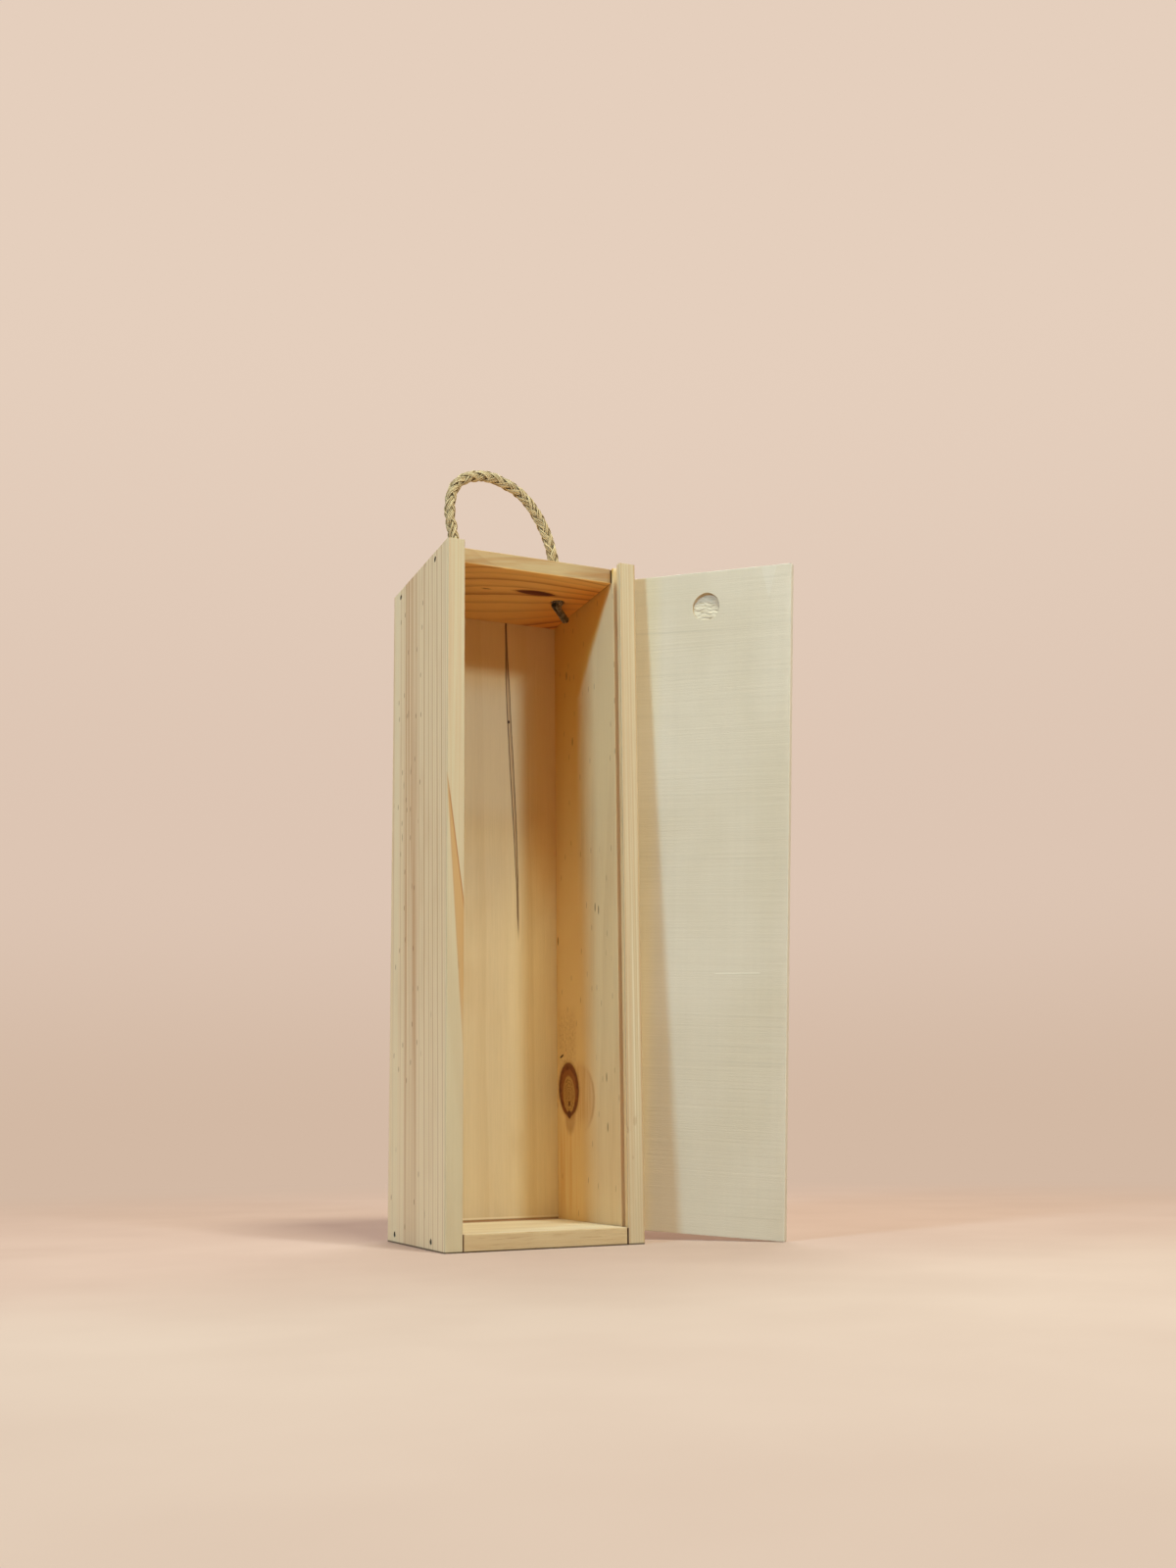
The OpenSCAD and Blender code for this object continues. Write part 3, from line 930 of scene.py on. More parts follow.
def left_marks(f, x, y, z):
    """Marks of the left board: dark dashes in the band of its outer face, stained brads, and a slanting
    amber layer that crosses the front edge."""
    outer = f.step(x, -50.7, -51.2)
    # painted light: the outer face paler towards the floor, where the floor's bounce lights it
    f.tint("#F6EACB", f.step(z, 190, 20) * outer * 0.25)
    f.tint("#E2D8B6", f.band(y - (z - 190) * 0.01, 39, 4, 2) * outer * 0.35)
    dash = flecks(f, f.vector((y + z * 0.02) / 8, z / 19, 0.0), 0.1, 0.4, "2D")
    f.tint("#7A5030", dash * f.band(y, 18, 24, 5) * outer * 0.65)
    f.tint(STAIN, brad_stains(f, y, z) * outer * 0.95)
    edge = front_face(f, y)
    f.tint("#B9A684", edge * 0.8)
    stripes = f.noise(x * 0.9, 0.0, z / 190, 2, 0.55)
    f.tint("#BE916C", edge * f.step(stripes, -0.04, 0.16) * f.step(z, 60, 250) * 0.45)
    f.tint("#D8CBAC", edge * f.noise(x * 3, 0.0, z / 60, 2) * f.step(z, 0, 60) * 0.5)
    low_side = x + 51.2 - (228 - z) * 0.136
    high_side = x + 51.2 - (226 - z) * 0.064
    fade = f.step(z, 78, 130) * f.step(z, 234, 216) * edge
    f.tint("#B9853F", f.step(low_side, 0.4, -0.3) * f.step(high_side, -0.6, 0.9) * fade * 0.7)
    f.tint("#A0642A", f.band(low_side, 0, 0.12, 0.4) * fade * 0.75)
    f.tint("#B07E44", f.band(high_side, 0.2, 0.1, 0.4) * fade * 0.5)
    joint_shade(f, x + INNER_X * MM_PER_M, y, z)


def joint_shade(f, past, y, z):
    """Dust and shade where a side board meets the floor and the end boards. past is how far a point lies
    beyond the board's inner face, in mm."""
    floor_line(f, z)
    at_top = f.band(z, 346, 3.4, 0.4) * f.step(y, -38.6, -38.2)
    end = f.maths("MAXIMUM", f.step(z, 8.3, 7.9), at_top)
    # painted shade in the joints with the end boards
    f.tint(PAINTED_JOINT_SHADE, end * f.step(abs(past), 0.3, 0.1) * 0.9)


KNOT_Y, KNOT_Z = 27.2, 77.5
WALL_FLECKS = ((41.5, 160), (-24.2, 82.3), (-24.9, 57), (-11.5, 172), (-16, 170), (26, 309), (18, 269))
# Chips in the right front edge, as (X, Z, radius of the darker wood) in mm, and the dents that go with them,
# as (place, radius, how far the middle is pushed)
CHIPS = ((46.8, 60, 1.5), (45.5, 42, 0.9), (42.9, 55.5, 1.1))
CHIP_DENTS = (((0.0468, FRONT_Y, 0.0600), 0.0022, (0, 0.0011, 0)),
              ((0.0428, FRONT_Y, 0.0555), 0.0016, (0.0005, 0.0006, 0)),
              ((0.0455, FRONT_Y, 0.0420), 0.0020, (0, 0.0005, 0)))


def right_rings(f, x, y, z):
    """Faint wide rings on the faces, and thin close ones on the front edge."""
    place = (x - 42.5) + y * 0.13 + (z - 100) * 0.012 + sway(f, x, y, z, 4.1) * 2.4
    flat = growth(f, place, 2.4, 4.1) * 0.16
    edge = f.step(y, -44.6, -45.4)
    close = growth(f, x + (z - 100) * 0.006 + sway(f, x, y, z, 7.7), 1.5, 2.2) * 0.5
    return flat * (1 - edge) + close * edge


def right_marks(f, x, y, z):
    """Marks of the right board: a round knot on its inner face; behind it an amber that is partly the wood's
    own and partly painted shade, which follows the shadow of the top and left boards; painted light low on
    the inner face; brown groove walls, which are painted shade; the greyer front edge with three chips,
    resin flecks and stained brads."""
    inside = f.step(x, 43.0, 42.7)
    # painted shade: amber behind the line where the top board's and the left board's shadow falls, partly
    # the wood's own amber
    reach = f.maths("MINIMUM", (341.5 - z) * 0.894 - 37.4, 7.0) + f.noise(y / 9, z / 60, 0.0, 2) * 6
    amber = f.step(y - reach, -3, 7) * inside
    # painted light: the inner face paler low down, most towards the back, where light bounces in off the
    # floor and bottom board
    f.tint("#FBDCA6", f.step(z, 220, 170) * inside * (f.step(y, -18, 12) * 0.65 + 0.15))
    f.tint("#E2AC6A", f.step(z, 120, 30) * f.step(y, 12, -18) * inside * 0.3)
    f.tint("#F2D8A6", f.step(z, 170, 270) * inside * 0.6)
    # painted shade: the shade's amber is deeper higher up
    painted_shade_amber = f.mix(f.step(z, 60, 330), "#FFE2A6", "#E0A840")
    f.tint(painted_shade_amber, amber * (0.5 + f.step(z, 130, 300) * 0.4))
    flame = f.noise(y * 0.34, 0.0, z / 70, 2, 0.6)
    low = f.band(y, 27, 12, 6) * f.step(z, 66, 50) * f.step(z, 4, 20) * inside
    f.tint("#E4A850", low * f.step(flame, -0.12, 0.16) * 0.4)
    above = f.band(y, 29, 9, 6) * f.band(z, 104, 9, 12) * inside
    mottle = f.noise(y * 0.5, z * 0.5, 0.0, 3, 0.7)
    f.tint("#A8701E", above * f.step(mottle, -0.2, 0.3) * 0.45)
    ky, kz = y - KNOT_Y - (z - KNOT_Z) * 0.08, z - KNOT_Z
    stir = f.noise(y / 3, z / 3, x / 3, 3, 0.6)
    far = f.away(ky, kz * 0.98) + stir * 1.8
    arc = f.away((y - 13) / 22, (z - 72) / 20) + stir * 0.05
    around = f.step(y, 24, 12) * f.step(z, 53, 66) * inside
    f.tint("#C98A45", f.step(arc, 1.06, 0.8) * around * (0.3 + f.noise(y * 0.6, 0.0, z / 50, 2)))
    f.tint("#B06E2C", f.band(arc, 0.92, 0.01, 0.09) * around * f.band(z, 68, 10, 12) * 0.4)
    tail = f.away(y - 25.5, (z - 61.5) * 0.894) + stir * 2
    f.tint("#A6652C", f.step(tail, 9.0, 4.5) * inside * 0.45)
    f.tint("#B3742C", f.step(far, 17.5, 12.6) * inside * 0.6)
    f.tint("#97531F", f.step(far, 14.6, 13.2) * inside * 0.9)
    f.tint("#6E340C", f.band(far, 12.4, 0.9, 1.6) * inside * (0.72 + stir * 2))
    heart = f.away(ky * 1.204, kz + 2.6) + stir * 2.2
    f.tint("#C79A58", f.step(heart, 10.6, 9.0) * inside)
    circles = f.maths("SINE", heart * 3.4 + stir * 9)
    f.tint("#8E5A1C", f.step(heart, 9.5, 7.5) * f.step(circles, 0.0, 0.9) * inside * 0.7)
    f.tint("#642C0E", f.step(f.away(ky - 0.5, (kz + 13.4) * 1.095) + stir, 3.0, 1.8) * inside)
    f.tint("#6A3710", f.step(f.away(ky, kz + 7.5), 1.9, 0.8) * inside)
    dash = f.away((y - 37.0) / 2.7, (z - 95.8 + (y - 37.0) * 0.25) / 0.7)
    f.tint("#3A1A0A", f.step(dash, 1.2, 0.7) * inside)
    for fleck_y, fleck_z in WALL_FLECKS:
        fleck = f.away((y - fleck_y) / 0.8, (z - fleck_z) / 2.6)
        f.tint("#6E4420", f.step(fleck, 1.2, 0.6) * inside * 0.7)
    small = flecks(f, f.vector(y / 7, z / 26, 0.0), 0.085, 0.4, "2D")
    f.tint("#83552C", small * inside * 0.4)
    # painted shade: the groove's walls tinted warm brown
    shown = f.step(x, 42.55, 42.7) * f.step(x, 47.3, 47.1) * f.step(z, 345, 335)
    f.tint("#DDA05E", shown * f.band(y, -42.75, 2.3, 0.25) * 0.5)
    edge = front_face(f, y)
    f.tint("#B4A284", edge * 0.7)
    stripes = f.noise(x * 0.8, 4.0, z / 170, 2, 0.6)
    f.tint("#B88C64", edge * f.step(stripes, -0.06, 0.16) * 0.34)
    f.tint("#D9CBAC", edge * f.step(stripes, -0.05, -0.2) * 0.4)
    f.tint("#AF7F4E", f.band(x, 43.2, 0.15, 0.5) * edge * 0.4)
    f.tint("#B8854A", f.band(x, 50.9, 0.2, 0.4) * f.step(y, -46, -47.5) * 0.3)
    for chip_x, chip_z, reach in CHIPS:
        chip = f.away(x - chip_x, (z - chip_z) * 0.55) + stir * 1.4
        f.tint("#94704A", f.step(chip, reach, reach * 0.4) * edge * 0.3)
    f.tint(STAIN, brad_stains(f, y, z) * f.step(x, 50.7, 51.2) * 0.95)
    joint_shade(f, x - INNER_X * MM_PER_M, y, z)


def make_sides():
    left = pine("left_pine", "z", left_rings, "#E4D0A9", "#B3804F", left_marks, 0.1, 1.7, 0.9)
    right = pine("right_pine", "z", right_rings, "#E9CFA0", "#B9854A", right_marks, 0.12, 4.1, 0.9)
    for side, name, node, wood in ((-1, "left_board", "left_side", left),
                                   (1, "right_board", "right_side", right)):
        piece = board(name, side_corners(side), 0, BOX_H, "z", wood, 0.2 * MM, side + 5)
        if side > 0:
            press(piece, CHIP_DENTS)
        cut(piece, brad_seats(side_brad_places(side), wood, side + 9))
        dress(piece, "box", "side_pine", node)


# ---- end boards and back panel ----

TOP_GAP, BOTTOM_GAP, BACK_GAP = 0.0006, 0.0007, 0.0002  # at the end boards' right ends

# The underside's ring number is a cubic of u = X / 40 mm and v = Y / 40 mm, fitted to its lines in the
# photograph: constant, u, v, u u, u v, v v, u u u, u u v, u v v, v v v
UNDERSIDE_RINGS = (4.03, 0.93, 2.9, -0.12, 0.55, -0.78, 0.22, 1.03, -0.57, 0.49)


def top_rings(f, x, y, z):
    """The top board's rings: whole numbers of the cubic on its underside, moving forwards with height."""
    u = x / 40
    v = (y + (z - 341.8) * 0.75) / 40 + sway(f, x, y, z, 2.2) * 0.05
    powers = (u, v, u * u, u * v, v * v, u * u * u, u * u * v, u * v * v, v * v * v)
    ring = UNDERSIDE_RINGS[0]
    for share, power in zip(UNDERSIDE_RINGS[1:], powers):
        ring = power * share + ring
    ring = ring + f.noise(x / 26, y / 5, z / 5, 2) * 0.16 + 0.1
    share, own = within(f, ring, 2.2)
    thin = f.step(share, 0.5, 0.93) * f.step(share, 1.0, 0.96) * (own * 0.65 + 0.15)
    return thin + f.step(share, 0.1, 0.7) * f.step(own, 0.4, 0.8) * 0.2


def top_marks(f, x, y, z):
    """Marks of the top board: a deeper colour underneath that is painted shade, a lens of pitch and a small
    knot underneath; a duller front face with two rising brown lines and a painted highlight along its lower
    edge; and painted shade in the joint at its right end."""
    below = f.step(z, 342.6, 342.2)
    # painted shade: the underside washed warmer and darker, coloured by light bounced off the wood, most at
    # its front right
    f.wash("#FEDC9F", below)
    f.wash("#FFE3B4", below * f.step(x, 5, 40) * f.step(y, -36, -20))
    stir = f.noise(x / 3, y / 2, z / 3, 3, 0.6)
    reach = 1 - ((x - 10.4) / 11.8) ** 2
    lens = abs(y + 10.0 + (x - 10.4) * 0.02) - reach * 3.6 + stir * 1.2
    inside = f.step(lens, 0.3, -0.6) * below
    f.tint("#A5541E", f.step(lens, 3.0, 0) * below * 0.4)
    f.tint("#5A1E0C", inside)
    f.tint("#7E4822", inside * f.step(y + stir * 6, -10.5, -6.5) * 0.6)
    knot = f.away((x + 16.7) / 3.0, (y + 6.6) / 1.1) + stir
    f.tint("#7A3E12", f.step(knot, 1.2, 0.4) * below * 0.7)
    front = f.step(y, -37.4, -38.1) * f.step(z, 341.9, 342.3)
    f.tint("#A68A5E", front * 0.8)
    f.wash("#E6D6CC", front * f.step(x, 10, 42))
    figure = f.noise(x / 30, z * 0.5 - x * 0.03, 3.0, 3, 0.5)
    f.tint("#A8763E", front * f.step(figure, 0.0, 0.26) * 0.6)
    f.tint("#C9AC7C", front * f.step(figure, -0.04, -0.22) * 0.4)
    wave = f.noise(x / 18, z / 6, 0.0, 2)
    upper = z - 346.9 - (x + 18.5) * 0.16 + (x + 18.5) * (x + 18.5) * 0.0022 + wave * 0.8
    lower = z - 344.9 - (x - 26) * 0.075 + wave * 0.6
    f.tint("#A5733C", f.band(upper, 0, 0.25, 1.5) * f.step(x, 18, 6) * front * 0.5)
    f.tint("#B98A55", f.step(upper, 0.3, 3.5) * front * 0.3)
    f.tint("#A5733C", f.band(lower, 0, 0.2, 1.1) * f.step(x, 10, 22) * front * 0.45)
    # painted highlight: a bright orange line along the front face's lower edge
    f.tint("#DDAF6A", f.step(z, 342.9, 342.1) * front * 0.5)
    # painted shade in the joint at the board's right end
    f.tint(PAINTED_JOINT_SHADE, f.step(x, 41.5, 41.8) * f.band(z, 345.9, 3.3, 0.4) * 0.9)


def bottom_rings(f, x, y, z):
    """Faint rings that lie almost flat in the bottom board."""
    return growth(f, z + y * 0.14 + x * 0.01 + sway(f, y, z, x, 8.4) * 2, 3.6, 8.4) * 0.2


def bottom_marks(f, x, y, z):
    """Painted shade along the back of its top face, in front of the back panel, a duller front face, and
    painted shade in the joints at its ends.
    """
    above = f.step(z, 8.0, 8.3)
    f.wash("#F6F2FC", above)
    # painted shade: a brown band on the top face in front of the back panel
    f.tint("#8A5424", f.step(y, 33.5, 36.5) * above * 0.75)
    front = front_face(f, y)
    f.tint("#B28D5F", front * 0.7)
    fine = f.noise(x / 14, 2.0, z * 1.4, 3, 0.6)
    f.tint("#98713C", front * f.step(fine, 0.02, 0.24) * 0.5)
    floor_line(f, z)
    # painted shade in the joints at the board's ends
    f.tint(PAINTED_JOINT_SHADE, f.step(abs(x), 41.8, 42.1) * f.step(z, 8.6, 8.2) * 0.8)


def back_rings(f, x, y, z):
    """Hardly any figure inside: two or three wide, faint bands. Long nested arches on the outer face."""
    place = x + (y - 44) * 0.9 + (z - 170) * 0.015 + sway(f, x, y, z, 5.9) * 4
    inside = growth(f, place, 15.0, 5.9) * 0.13
    arch = f.away(x + 9, (z - 40) / 9) + sway(f, x, y, z, 3.3) * 3
    return inside + growth(f, arch, 4.6, 3.3) * f.step(y, 46, 48) * 0.38


def back_marks(f, x, y, z):
    """A brown streak down the back panel's inner face: two dark edges with a tan core, widest at two
    thirds of the height and closing below the middle. Painted shade at the top and the right, painted light
    in a band on the left, painted shade over the lower left, and a painted shade line at the panel's foot
    with a painted highlight just above it."""
    inside = f.step(y, 45.2, 44.8)
    # painted shade: amber where the top board and the right board shade the panel
    shade = f.maths("MAXIMUM", f.step(z, 295, 320), f.step(x, 18, 34) * f.step(z, 165, 215))
    f.tint("#DBA24A", shade * inside * 0.55)
    # painted light: a paler band on the left, where the lamp lights the panel
    f.tint("#E8D5AE", f.band(z, 264, 24, 20) * f.step(x, 26, 12) * inside * 0.35)
    # painted shade: the panel's lower left part washed darker
    f.wash("#EEEEF7", f.step(z, 226, 196) * f.step(x, 32, 6) * inside)
    # painted shade: a brown line at the panel's foot, where it meets the bottom board
    f.tint("#8A5424", f.step(z, 9.5, 9.2) * inside * 0.75)
    # painted highlight: a pale line just above it, along the panel's lower edge
    f.tint("#F2DDB4", f.band(z, 10.0, 0.3, 0.25) * inside * 0.5)
    down = (340 - z) / 168
    centre = f.step(down, 0, 1) * 4.6 + down * 2.3 + 12.8
    half = f.step(z, 340, 300) * f.step(z, 166, 250) * 0.72 + 0.25
    stir = f.noise(x / 2, y / 2, z / 9, 2)
    off = abs(x - centre + stir * 0.5)
    shown = f.step(z, 158, 176) * inside
    f.tint("#A9804E", f.step(off - half, 0.25, -0.15) * shown * 0.5)
    f.tint("#54300F", f.band(off - half, 0, 0.1, 0.35) * shown * 0.85)
    f.tint("#5E3515", f.step(off, 0.6, 0.2) * f.step(z, 296, 322) * inside * 0.6)
    fleck = f.away(x - 14.4, (z - 284) * 0.7)
    f.tint("#3E2410", f.step(fleck, 0.9, 0.4) * inside)


def rope_hole(place_x, material):
    """Cutter for a rope hole with slightly broken rims."""
    r = HOLE_D / 2
    low, high = UNDERSIDE_Z, BOX_H
    profile = [(0, high + 0.001), (r + 0.0007, high + 0.001), (r + 0.00035, high), (r, high - 0.00045),
               (r, low + 0.0004), (r + 0.0003, low), (r + 0.0006, low - 0.001), (0, low - 0.001)]
    return lathe("hole", profile, 48, material, Matrix.Translation((place_x, 0, 0)))


def squeeze_right(gap, low_y):
    """Draws an end board's right end in, by gap at its front and by BACK_GAP a box's depth behind it."""
    def skew(p):
        share = np.clip((p[:, 0] + INNER_X) / (2 * INNER_X), 0, 1)
        p[:, 0] -= share * (gap - (gap - BACK_GAP) * (p[:, 1] - low_y) / BOX_D)
        return p
    return skew


def end_board(name, node, wood, front_y, low, high, left_gap, gap, seed, holes=()):
    """An end board with eased arrises, more along its upper front one, and holes for the rope."""
    r = 0.4 * MM
    corners = [(front_y, low, r), (PANEL_Y, low, r), (PANEL_Y, high, r), (front_y, high, 0.6 * MM)]
    piece = board(name, corners, -INNER_X + left_gap, INNER_X, "x", wood, 0.25 * MM, seed,
                  skew=squeeze_right(gap, front_y))
    if holes:
        cut(piece, [rope_hole(place_x, wood) for place_x in holes])
    dress(piece, "box", "end_pine", node)


def make_end_boards():
    wood = pine("top_pine", "x", top_rings, "#F0D29E", "#AC7038", top_marks, 0.06, 2.2, 0.8)
    end_board("top_end_board", "top_board", wood, TOP_FRONT_Y, UNDERSIDE_Z, BOX_H, 0.00005, TOP_GAP, 3,
              (LEFT_HOLE_X, RIGHT_HOLE_X))
    wood = pine("bottom_pine", "x", bottom_rings, "#E6D5AC", "#BE9052", bottom_marks, 0.05, 8.4)
    end_board("bottom_end_board", "bottom_board", wood, FRONT_Y, 0, BOTTOM_T, 0.00015, BOTTOM_GAP, 4)


def make_back():
    wood = pine("back_pine", "z", back_rings, "#E3C794", "#B98848", back_marks, 0.03, 5.9, 0.6)
    half = INNER_X + REBATE_DEPTH - BACK_PLAY
    r = 0.25 * MM
    corners = [(-half, PANEL_Y, r), (half, PANEL_Y, r), (half, BACK_Y, 0.4 * MM), (-half, BACK_Y, 0.4 * MM)]
    panel = board("back_board", corners, 0, BOX_H, "z", wood, 0.22 * MM, 6)
    cut(panel, brad_seats(back_brad_places(), wood, 12))
    dress(panel, "box", "back_pine", "back_panel")


# ---- lid ----

LID_T, LID_PLAY = 0.0038, 0.0004
LID_W = 2 * (INNER_X + GROOVE_DEPTH - LID_PLAY)
LID_L = BOX_H - BOTTOM_T
LID_TURN, LID_TIP, LID_GAP, LID_FORWARD = math.radians(48.5), math.radians(3.5), 0.0003, 0.0428
LID_LEAN = math.asin(math.tan(LID_TIP) / math.tan(LID_TURN))
RECESS_D, RECESS_DEPTH, RECESS_RUNOUT, RECESS_DROP = 0.015, 0.002, 0.0002, 0.019
RECESS_TILT = math.asin((RECESS_DEPTH + RECESS_RUNOUT) / RECESS_D)


def lid_place():
    """From the lid's own axes (X across, Y into the wood, Z up) to where it leans on the box."""
    left = -LID_W / 2 * (math.cos(LID_TIP) * math.cos(LID_TURN)
                         + math.sin(LID_TIP) * math.sin(LID_LEAN) * math.sin(LID_TURN))
    rise = LID_W / 2 * math.sin(LID_TIP) * math.cos(LID_LEAN)
    foot = Vector((OUTER_X + LID_GAP - left, -LID_FORWARD, rise))
    return (Matrix.Translation(foot) @ Matrix.Rotation(-LID_TURN, 4, "Z") @ Matrix.Rotation(LID_LEAN, 4, "X")
            @ Matrix.Rotation(LID_TIP, 4, "Y"))


RIDGE, FINE_RIDGE = 0.00032, 0.00005


def thumb_recess(material):
    """Cutter for the thumb recess: a round pocket whose floor rises to the surface at its lower rim. The
    floor's height is its tilt plus ridges of torn fibre that run across the lid and grow towards that
    rim."""
    rings, sides = 44, 96
    share = np.sqrt(np.linspace(0, 1, rings + 1)[1:])
    a = circle(sides)
    radius = RECESS_D / 2 * (1 + 0.008 * np.sin(5 * a) + 0.006 * np.sin(11 * a + 1))
    x = np.outer(share, np.cos(a) * radius)
    z = np.outer(share, np.sin(a) * radius)
    ridge = z / 0.00037 + 1.4 * np.sin(x / 0.0021 + z / 0.003) + 0.8 * np.sin(x / 0.0009)
    torn = (0.5 + 0.5 * np.sin(ridge)) ** 2
    lower = np.clip(0.75 - z / 0.008, 0.15, 1)
    ragged = 0.5 + 0.5 * np.sin(x / 0.0016 + 2 * np.sin(z / 0.0011))
    fine = FINE_RIDGE * np.sin(x / 0.0005) * np.sin(z / 0.0003)
    floor = RIDGE * torn * lower * (0.45 + 0.55 * ragged) + fine
    base = np.stack([x, z, -floor], -1).reshape(-1, 3)
    wall = [np.stack([np.cos(a) * radius * s, np.sin(a) * radius * s, np.full(sides, h)], -1)
            for s, h in ((1.0, 0.0012), (1.01, 0.0030), (1.01, 0.0042))]
    points = np.concatenate([base, *wall, [[0, 0, 0]]])
    rows = rings + len(wall)
    quads = grid_faces(rows, sides, True).tolist() + fan(sides, 0, len(points) - 1)
    top = [(np.arange(sides) + (rows - 1) * sides).tolist()]
    piece = mesh_object("recess", points, quads, material, top)
    middle = Matrix.Translation((0, (RECESS_DEPTH - RECESS_RUNOUT) / 2, LID_L - RECESS_DROP))
    piece.data.transform(middle @ Matrix.Rotation(math.pi / 2 - RECESS_TILT, 4, "X"))
    return piece


def lid_material():
    """Pale sawn wood whose faint lines run across the lid, with a few stronger saw marks, a pale drip near
    the upper right corner, a short scratch, rubbed pale edges and brown ends of torn fibre in the recess.
    Its left part, which the box shades, is painted as warmer shade, with painted light over its lower part."""
    f = Finish("lid_wood", "#D8CBB6")
    place = lid_place()
    inputs = {"Vector": f.node("ShaderNodeTexCoord", output=3), "Location": place.to_translation(),
              "Rotation": place.to_euler()}
    local = f.node("ShaderNodeMapping", {"vector_type": "TEXTURE"}, inputs)
    x, y, z = [part * MM_PER_M for part in f.parts(local)]
    lines = f.noise(x * 0.012, y * 0.6, z * 0.8, 4, 0.6)
    saw = f.noise(x * 0.004, y * 0.3, z * 0.19 + x * 0.003, 2, 0.6)
    fibre = f.noise(x * 0.25, y * 5, z * 5, 3, 0.6)
    cloud = f.noise(x / 60, y / 20, z / 90, 2)
    upright_streaks = f.noise(x * 0.35, y * 0.3, z * 0.006, 3, 0.55)
    f.tint("#D0C2AA", f.step(cloud, -0.2, 0.2))
    f.tint("#CDBE9F", f.step(z, 190, 0) * 0.15)
    # painted light: the shaded left part paler and warmer low down
    f.tint("#EEDCB8", f.step(x, -22, -32) * f.step(z, 260, 60) * 0.6)
    grain = lines * 0.09 + upright_streaks * 0.05 + fibre * 0.05 + 0.02
    f.darken(f.step(saw, 0.08, 0.3) * 0.045 + grain)
    strong = f.band(z + x * 0.034, 310.1, 0.25, 0.4) * f.step(x, 60, -30)
    strong = strong + f.band(z, 301.8, 0.2, 0.4) * 0.4 + f.band(z + x * 0.02, 287.6, 0.2, 0.4) * 0.5
    strong = strong + f.band(z, 87, 0.2, 0.5) * 0.5
    f.darken(strong * (0.07 + lines * 0.1))
    drip = abs(x - 34.4 + lines) - (z - 326.5) * 0.25
    f.tint("#E9E6E0", f.step(drip, 0.4, -0.6) * 0.1 + f.band(drip, 0.2, 0.05, 0.3) * 0.15)
    # painted shade: the left part, which the box shades, washed warmer
    f.wash("#FFFAE8", f.step(x, -22, -32) * 0.7)
    front = f.step(y, 0.5, 0.1)
    scratch = f.band(z - (x + 2) * 0.02, 131.2, 0.2, 0.35) * f.band(x, 20, 11, 2) * front
    f.tint("#F0EAD8", scratch * 0.25)
    edge = f.step(f.maths("MAXIMUM", abs(x) - 46.5, abs(z - 170.75) - 170.75), -0.7, -0.2)
    f.tint("#D2CBBA", edge * 0.45)
    away = f.away(x, z - 322.5)
    pocket = f.step(y, 3.0, 2.6)
    cupped = f.step(away, 8.1, 7.2) * f.step(y, 0.02, 0.25) * pocket
    torn = f.noise(x * 0.16, 0.0, z * 1.3 + x * 0.05, 3, 0.6)
    rough = f.step(z, 328, 324) * cupped
    f.tint("#8E7049", rough * f.step(torn, 0.03, 0.16) * 0.75)
    f.tint("#EFE4C8", rough * f.step(torn, -0.03, -0.2) * 0.5)
    wall = f.band(away, 7.5, 0.15, 0.35) * f.step(y, 0.05, 0.3) * pocket
    f.tint("#B79763", wall * 0.5)
    f.relief(lines * 0.8 + fibre * 0.5 + saw * 0.6 + 0.6 + scratch * 0.4, 0.00014)
    return f.finish(0.8 + fibre * 0.1, 0.15)


def make_lid():
    wood = lid_material()
    half = LID_W / 2
    r = 0.3 * MM
    corners = [(-half, 0, r), (half, 0, r), (half, LID_T, r), (-half, LID_T, r)]
    lid = board("slide_lid", corners, 0, LID_L, "z", wood, 0.28 * MM, 8, 0.15 * MM)
    cut(lid, [thumb_recess(wood)])
    lid.data.transform(lid_place())
    dress(lid, "lid", "lid_wood", "sliding_lid")


# ---- studio ----

def area_light(name, azimuth, elevation, distance, size, strength, tone):
    """A square soft light aimed at the box. Azimuth is from straight in front of it towards +X, in degrees.
    strength is the brightness of a white surface that faces it."""
    a, e = math.radians(azimuth), math.radians(elevation)
    aim = Vector((0.02, 0, 0.17))
    out = Vector((math.sin(a) * math.cos(e), -math.cos(a) * math.cos(e), math.sin(e)))
    data = bpy.data.lights.new(name, "AREA")
    data.size = size
    data.energy = strength * math.pi ** 2 * distance ** 2
    data.color = tone
    light = bpy.data.objects.new(name, data)
    light.location = aim + out * distance
    light.rotation_euler = out.to_track_quat("Z", "Y").to_euler()
    bpy.context.scene.collection.objects.link(light)


WALL_FOOT = "#D3B9A4"


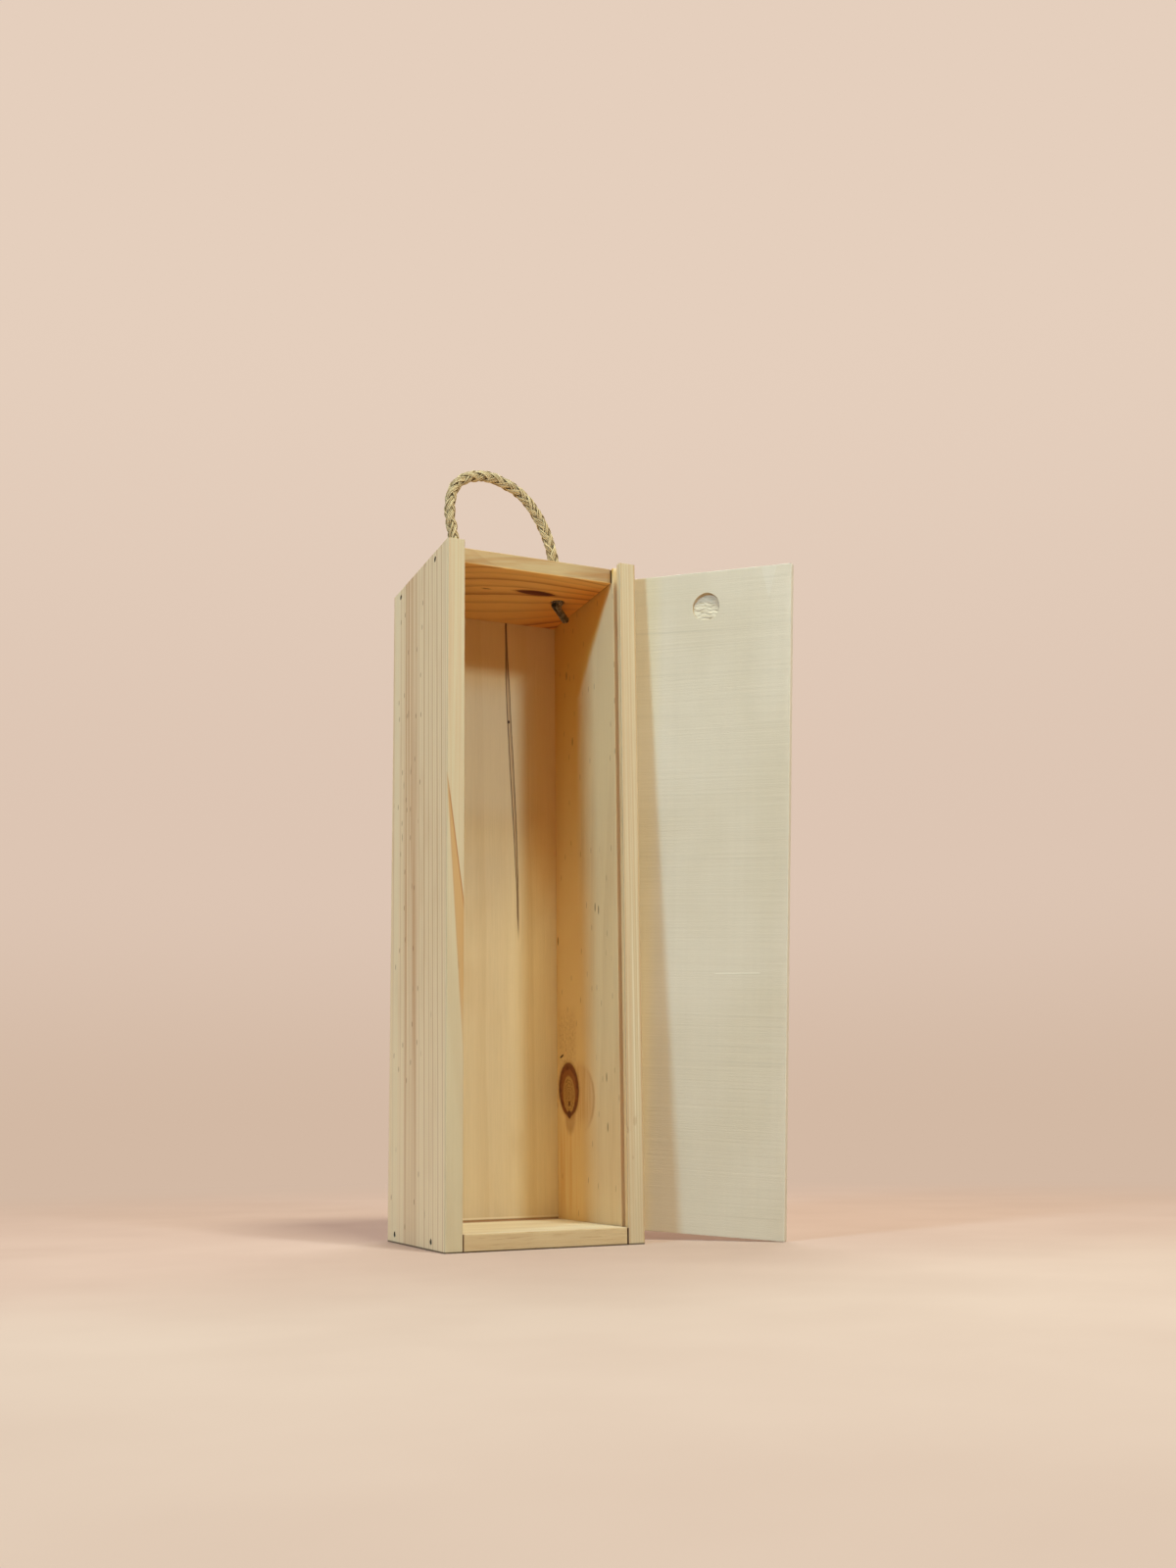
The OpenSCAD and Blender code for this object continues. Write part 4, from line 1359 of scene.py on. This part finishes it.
def make_studio():
    """Three soft lights in front, two behind that only the other views need, a warm fill from all round,
    and a plain wall colour that only the camera and gloss see."""
    area_light("window", -62, 28, 1.7, 0.28, 0.485, (0.37, 0.73, 1.0))
    area_light("behind_left", -128, 38, 2.0, 1.4, 0.20, (0.95, 0.97, 1.0))
    area_light("behind_right", 152, 40, 2.0, 1.4, 0.50, (0.90, 0.96, 1.0))
    area_light("lamp", 13, 24.5, 1.7, 0.13, 0.36, (0.59, 0.81, 1.0))
    area_light("overhead", 5, 62, 2.0, 0.38, 0.757, (0.93, 1.0, 0.81))
    world = bpy.data.worlds.new("studio")
    bpy.context.scene.world = world
    world.use_nodes = True
    s = Sums(world.node_tree)
    fill = s.tree.nodes["Background"]
    s.feed(fill.inputs["Color"], (0.36, 0.208, 0.062, 1))
    s.feed(fill.inputs["Strength"], 1)
    height = s.parts(s.node("ShaderNodeTexCoord"))[2]
    wall = s.node("ShaderNodeValToRGB", None, {0: height})
    ramp = wall.socket.node.color_ramp
    ramp.interpolation = "EASE"
    ramp.elements[0].position = 0.0
    ramp.elements[0].color = colour(WALL_FOOT)
    ramp.elements[1].position = 0.5
    ramp.elements[1].color = colour("#E5CFBD")
    ramp.elements.new(0.16).color = colour("#DDC5B3")
    path = s.node("ShaderNodeLightPath")
    gloss = Wire(s, path.socket.node.outputs["Is Glossy Ray"])
    seen = s.node("ShaderNodeBackground", None, {"Color": wall})
    inputs = {0: s.maths("MAXIMUM", path, gloss), 1: Wire(s, fill.outputs[0]), 2: seen}
    s.feed(s.tree.nodes["World Output"].inputs[0], s.node("ShaderNodeMixShader", None, inputs))


def make_floor():
    """A wide sheet of paper. Far from the box the camera sees it in the wall's colour, so no line shows."""
    f = Finish("floor_paper", "#C3AC9F")
    x, y, z = f.place()
    cloud = f.noise(x / 90, y / 90, z, 3)
    f.tint("#C9B3A6", f.step(cloud, -0.3, 0.3))
    f.wash("#F8F1F0", f.step(y, -330, -60))
    paper = f.finish(0.9, 0.1)
    glow = f.node("ShaderNodeEmission", None, {"Color": WALL_FOOT, "Strength": 1})
    share = f.step(f.away(x, y), 240, 900) * f.node("ShaderNodeLightPath")
    surface = f.node("ShaderNodeMixShader", None, {0: share, 1: Wire(f, f.shader.outputs[0]), 2: glow})
    f.feed(f.tree.nodes["Material Output"].inputs[0], surface)
    size = 6.0
    corners = [(-size, -size, 0), (size, -size, 0), (size, size, 0), (-size, size, 0)]
    mesh_object("floor", corners, [(0, 1, 2, 3)], paper)


make_camera()
jute = make_rope()
make_bars(jute)
brad_wire = brad_material()
brads("brads_left", side_brad_places(-1), "left_side_brads", brad_wire)
brads("brads_right", side_brad_places(1), "right_side_brads", brad_wire)
brads("brads_back", back_brad_places(), "back_panel_brads", brad_wire)
make_sides()
make_end_boards()
make_back()
make_lid()
make_studio()
make_floor()
bpy.context.scene.view_settings.view_transform = "Standard"
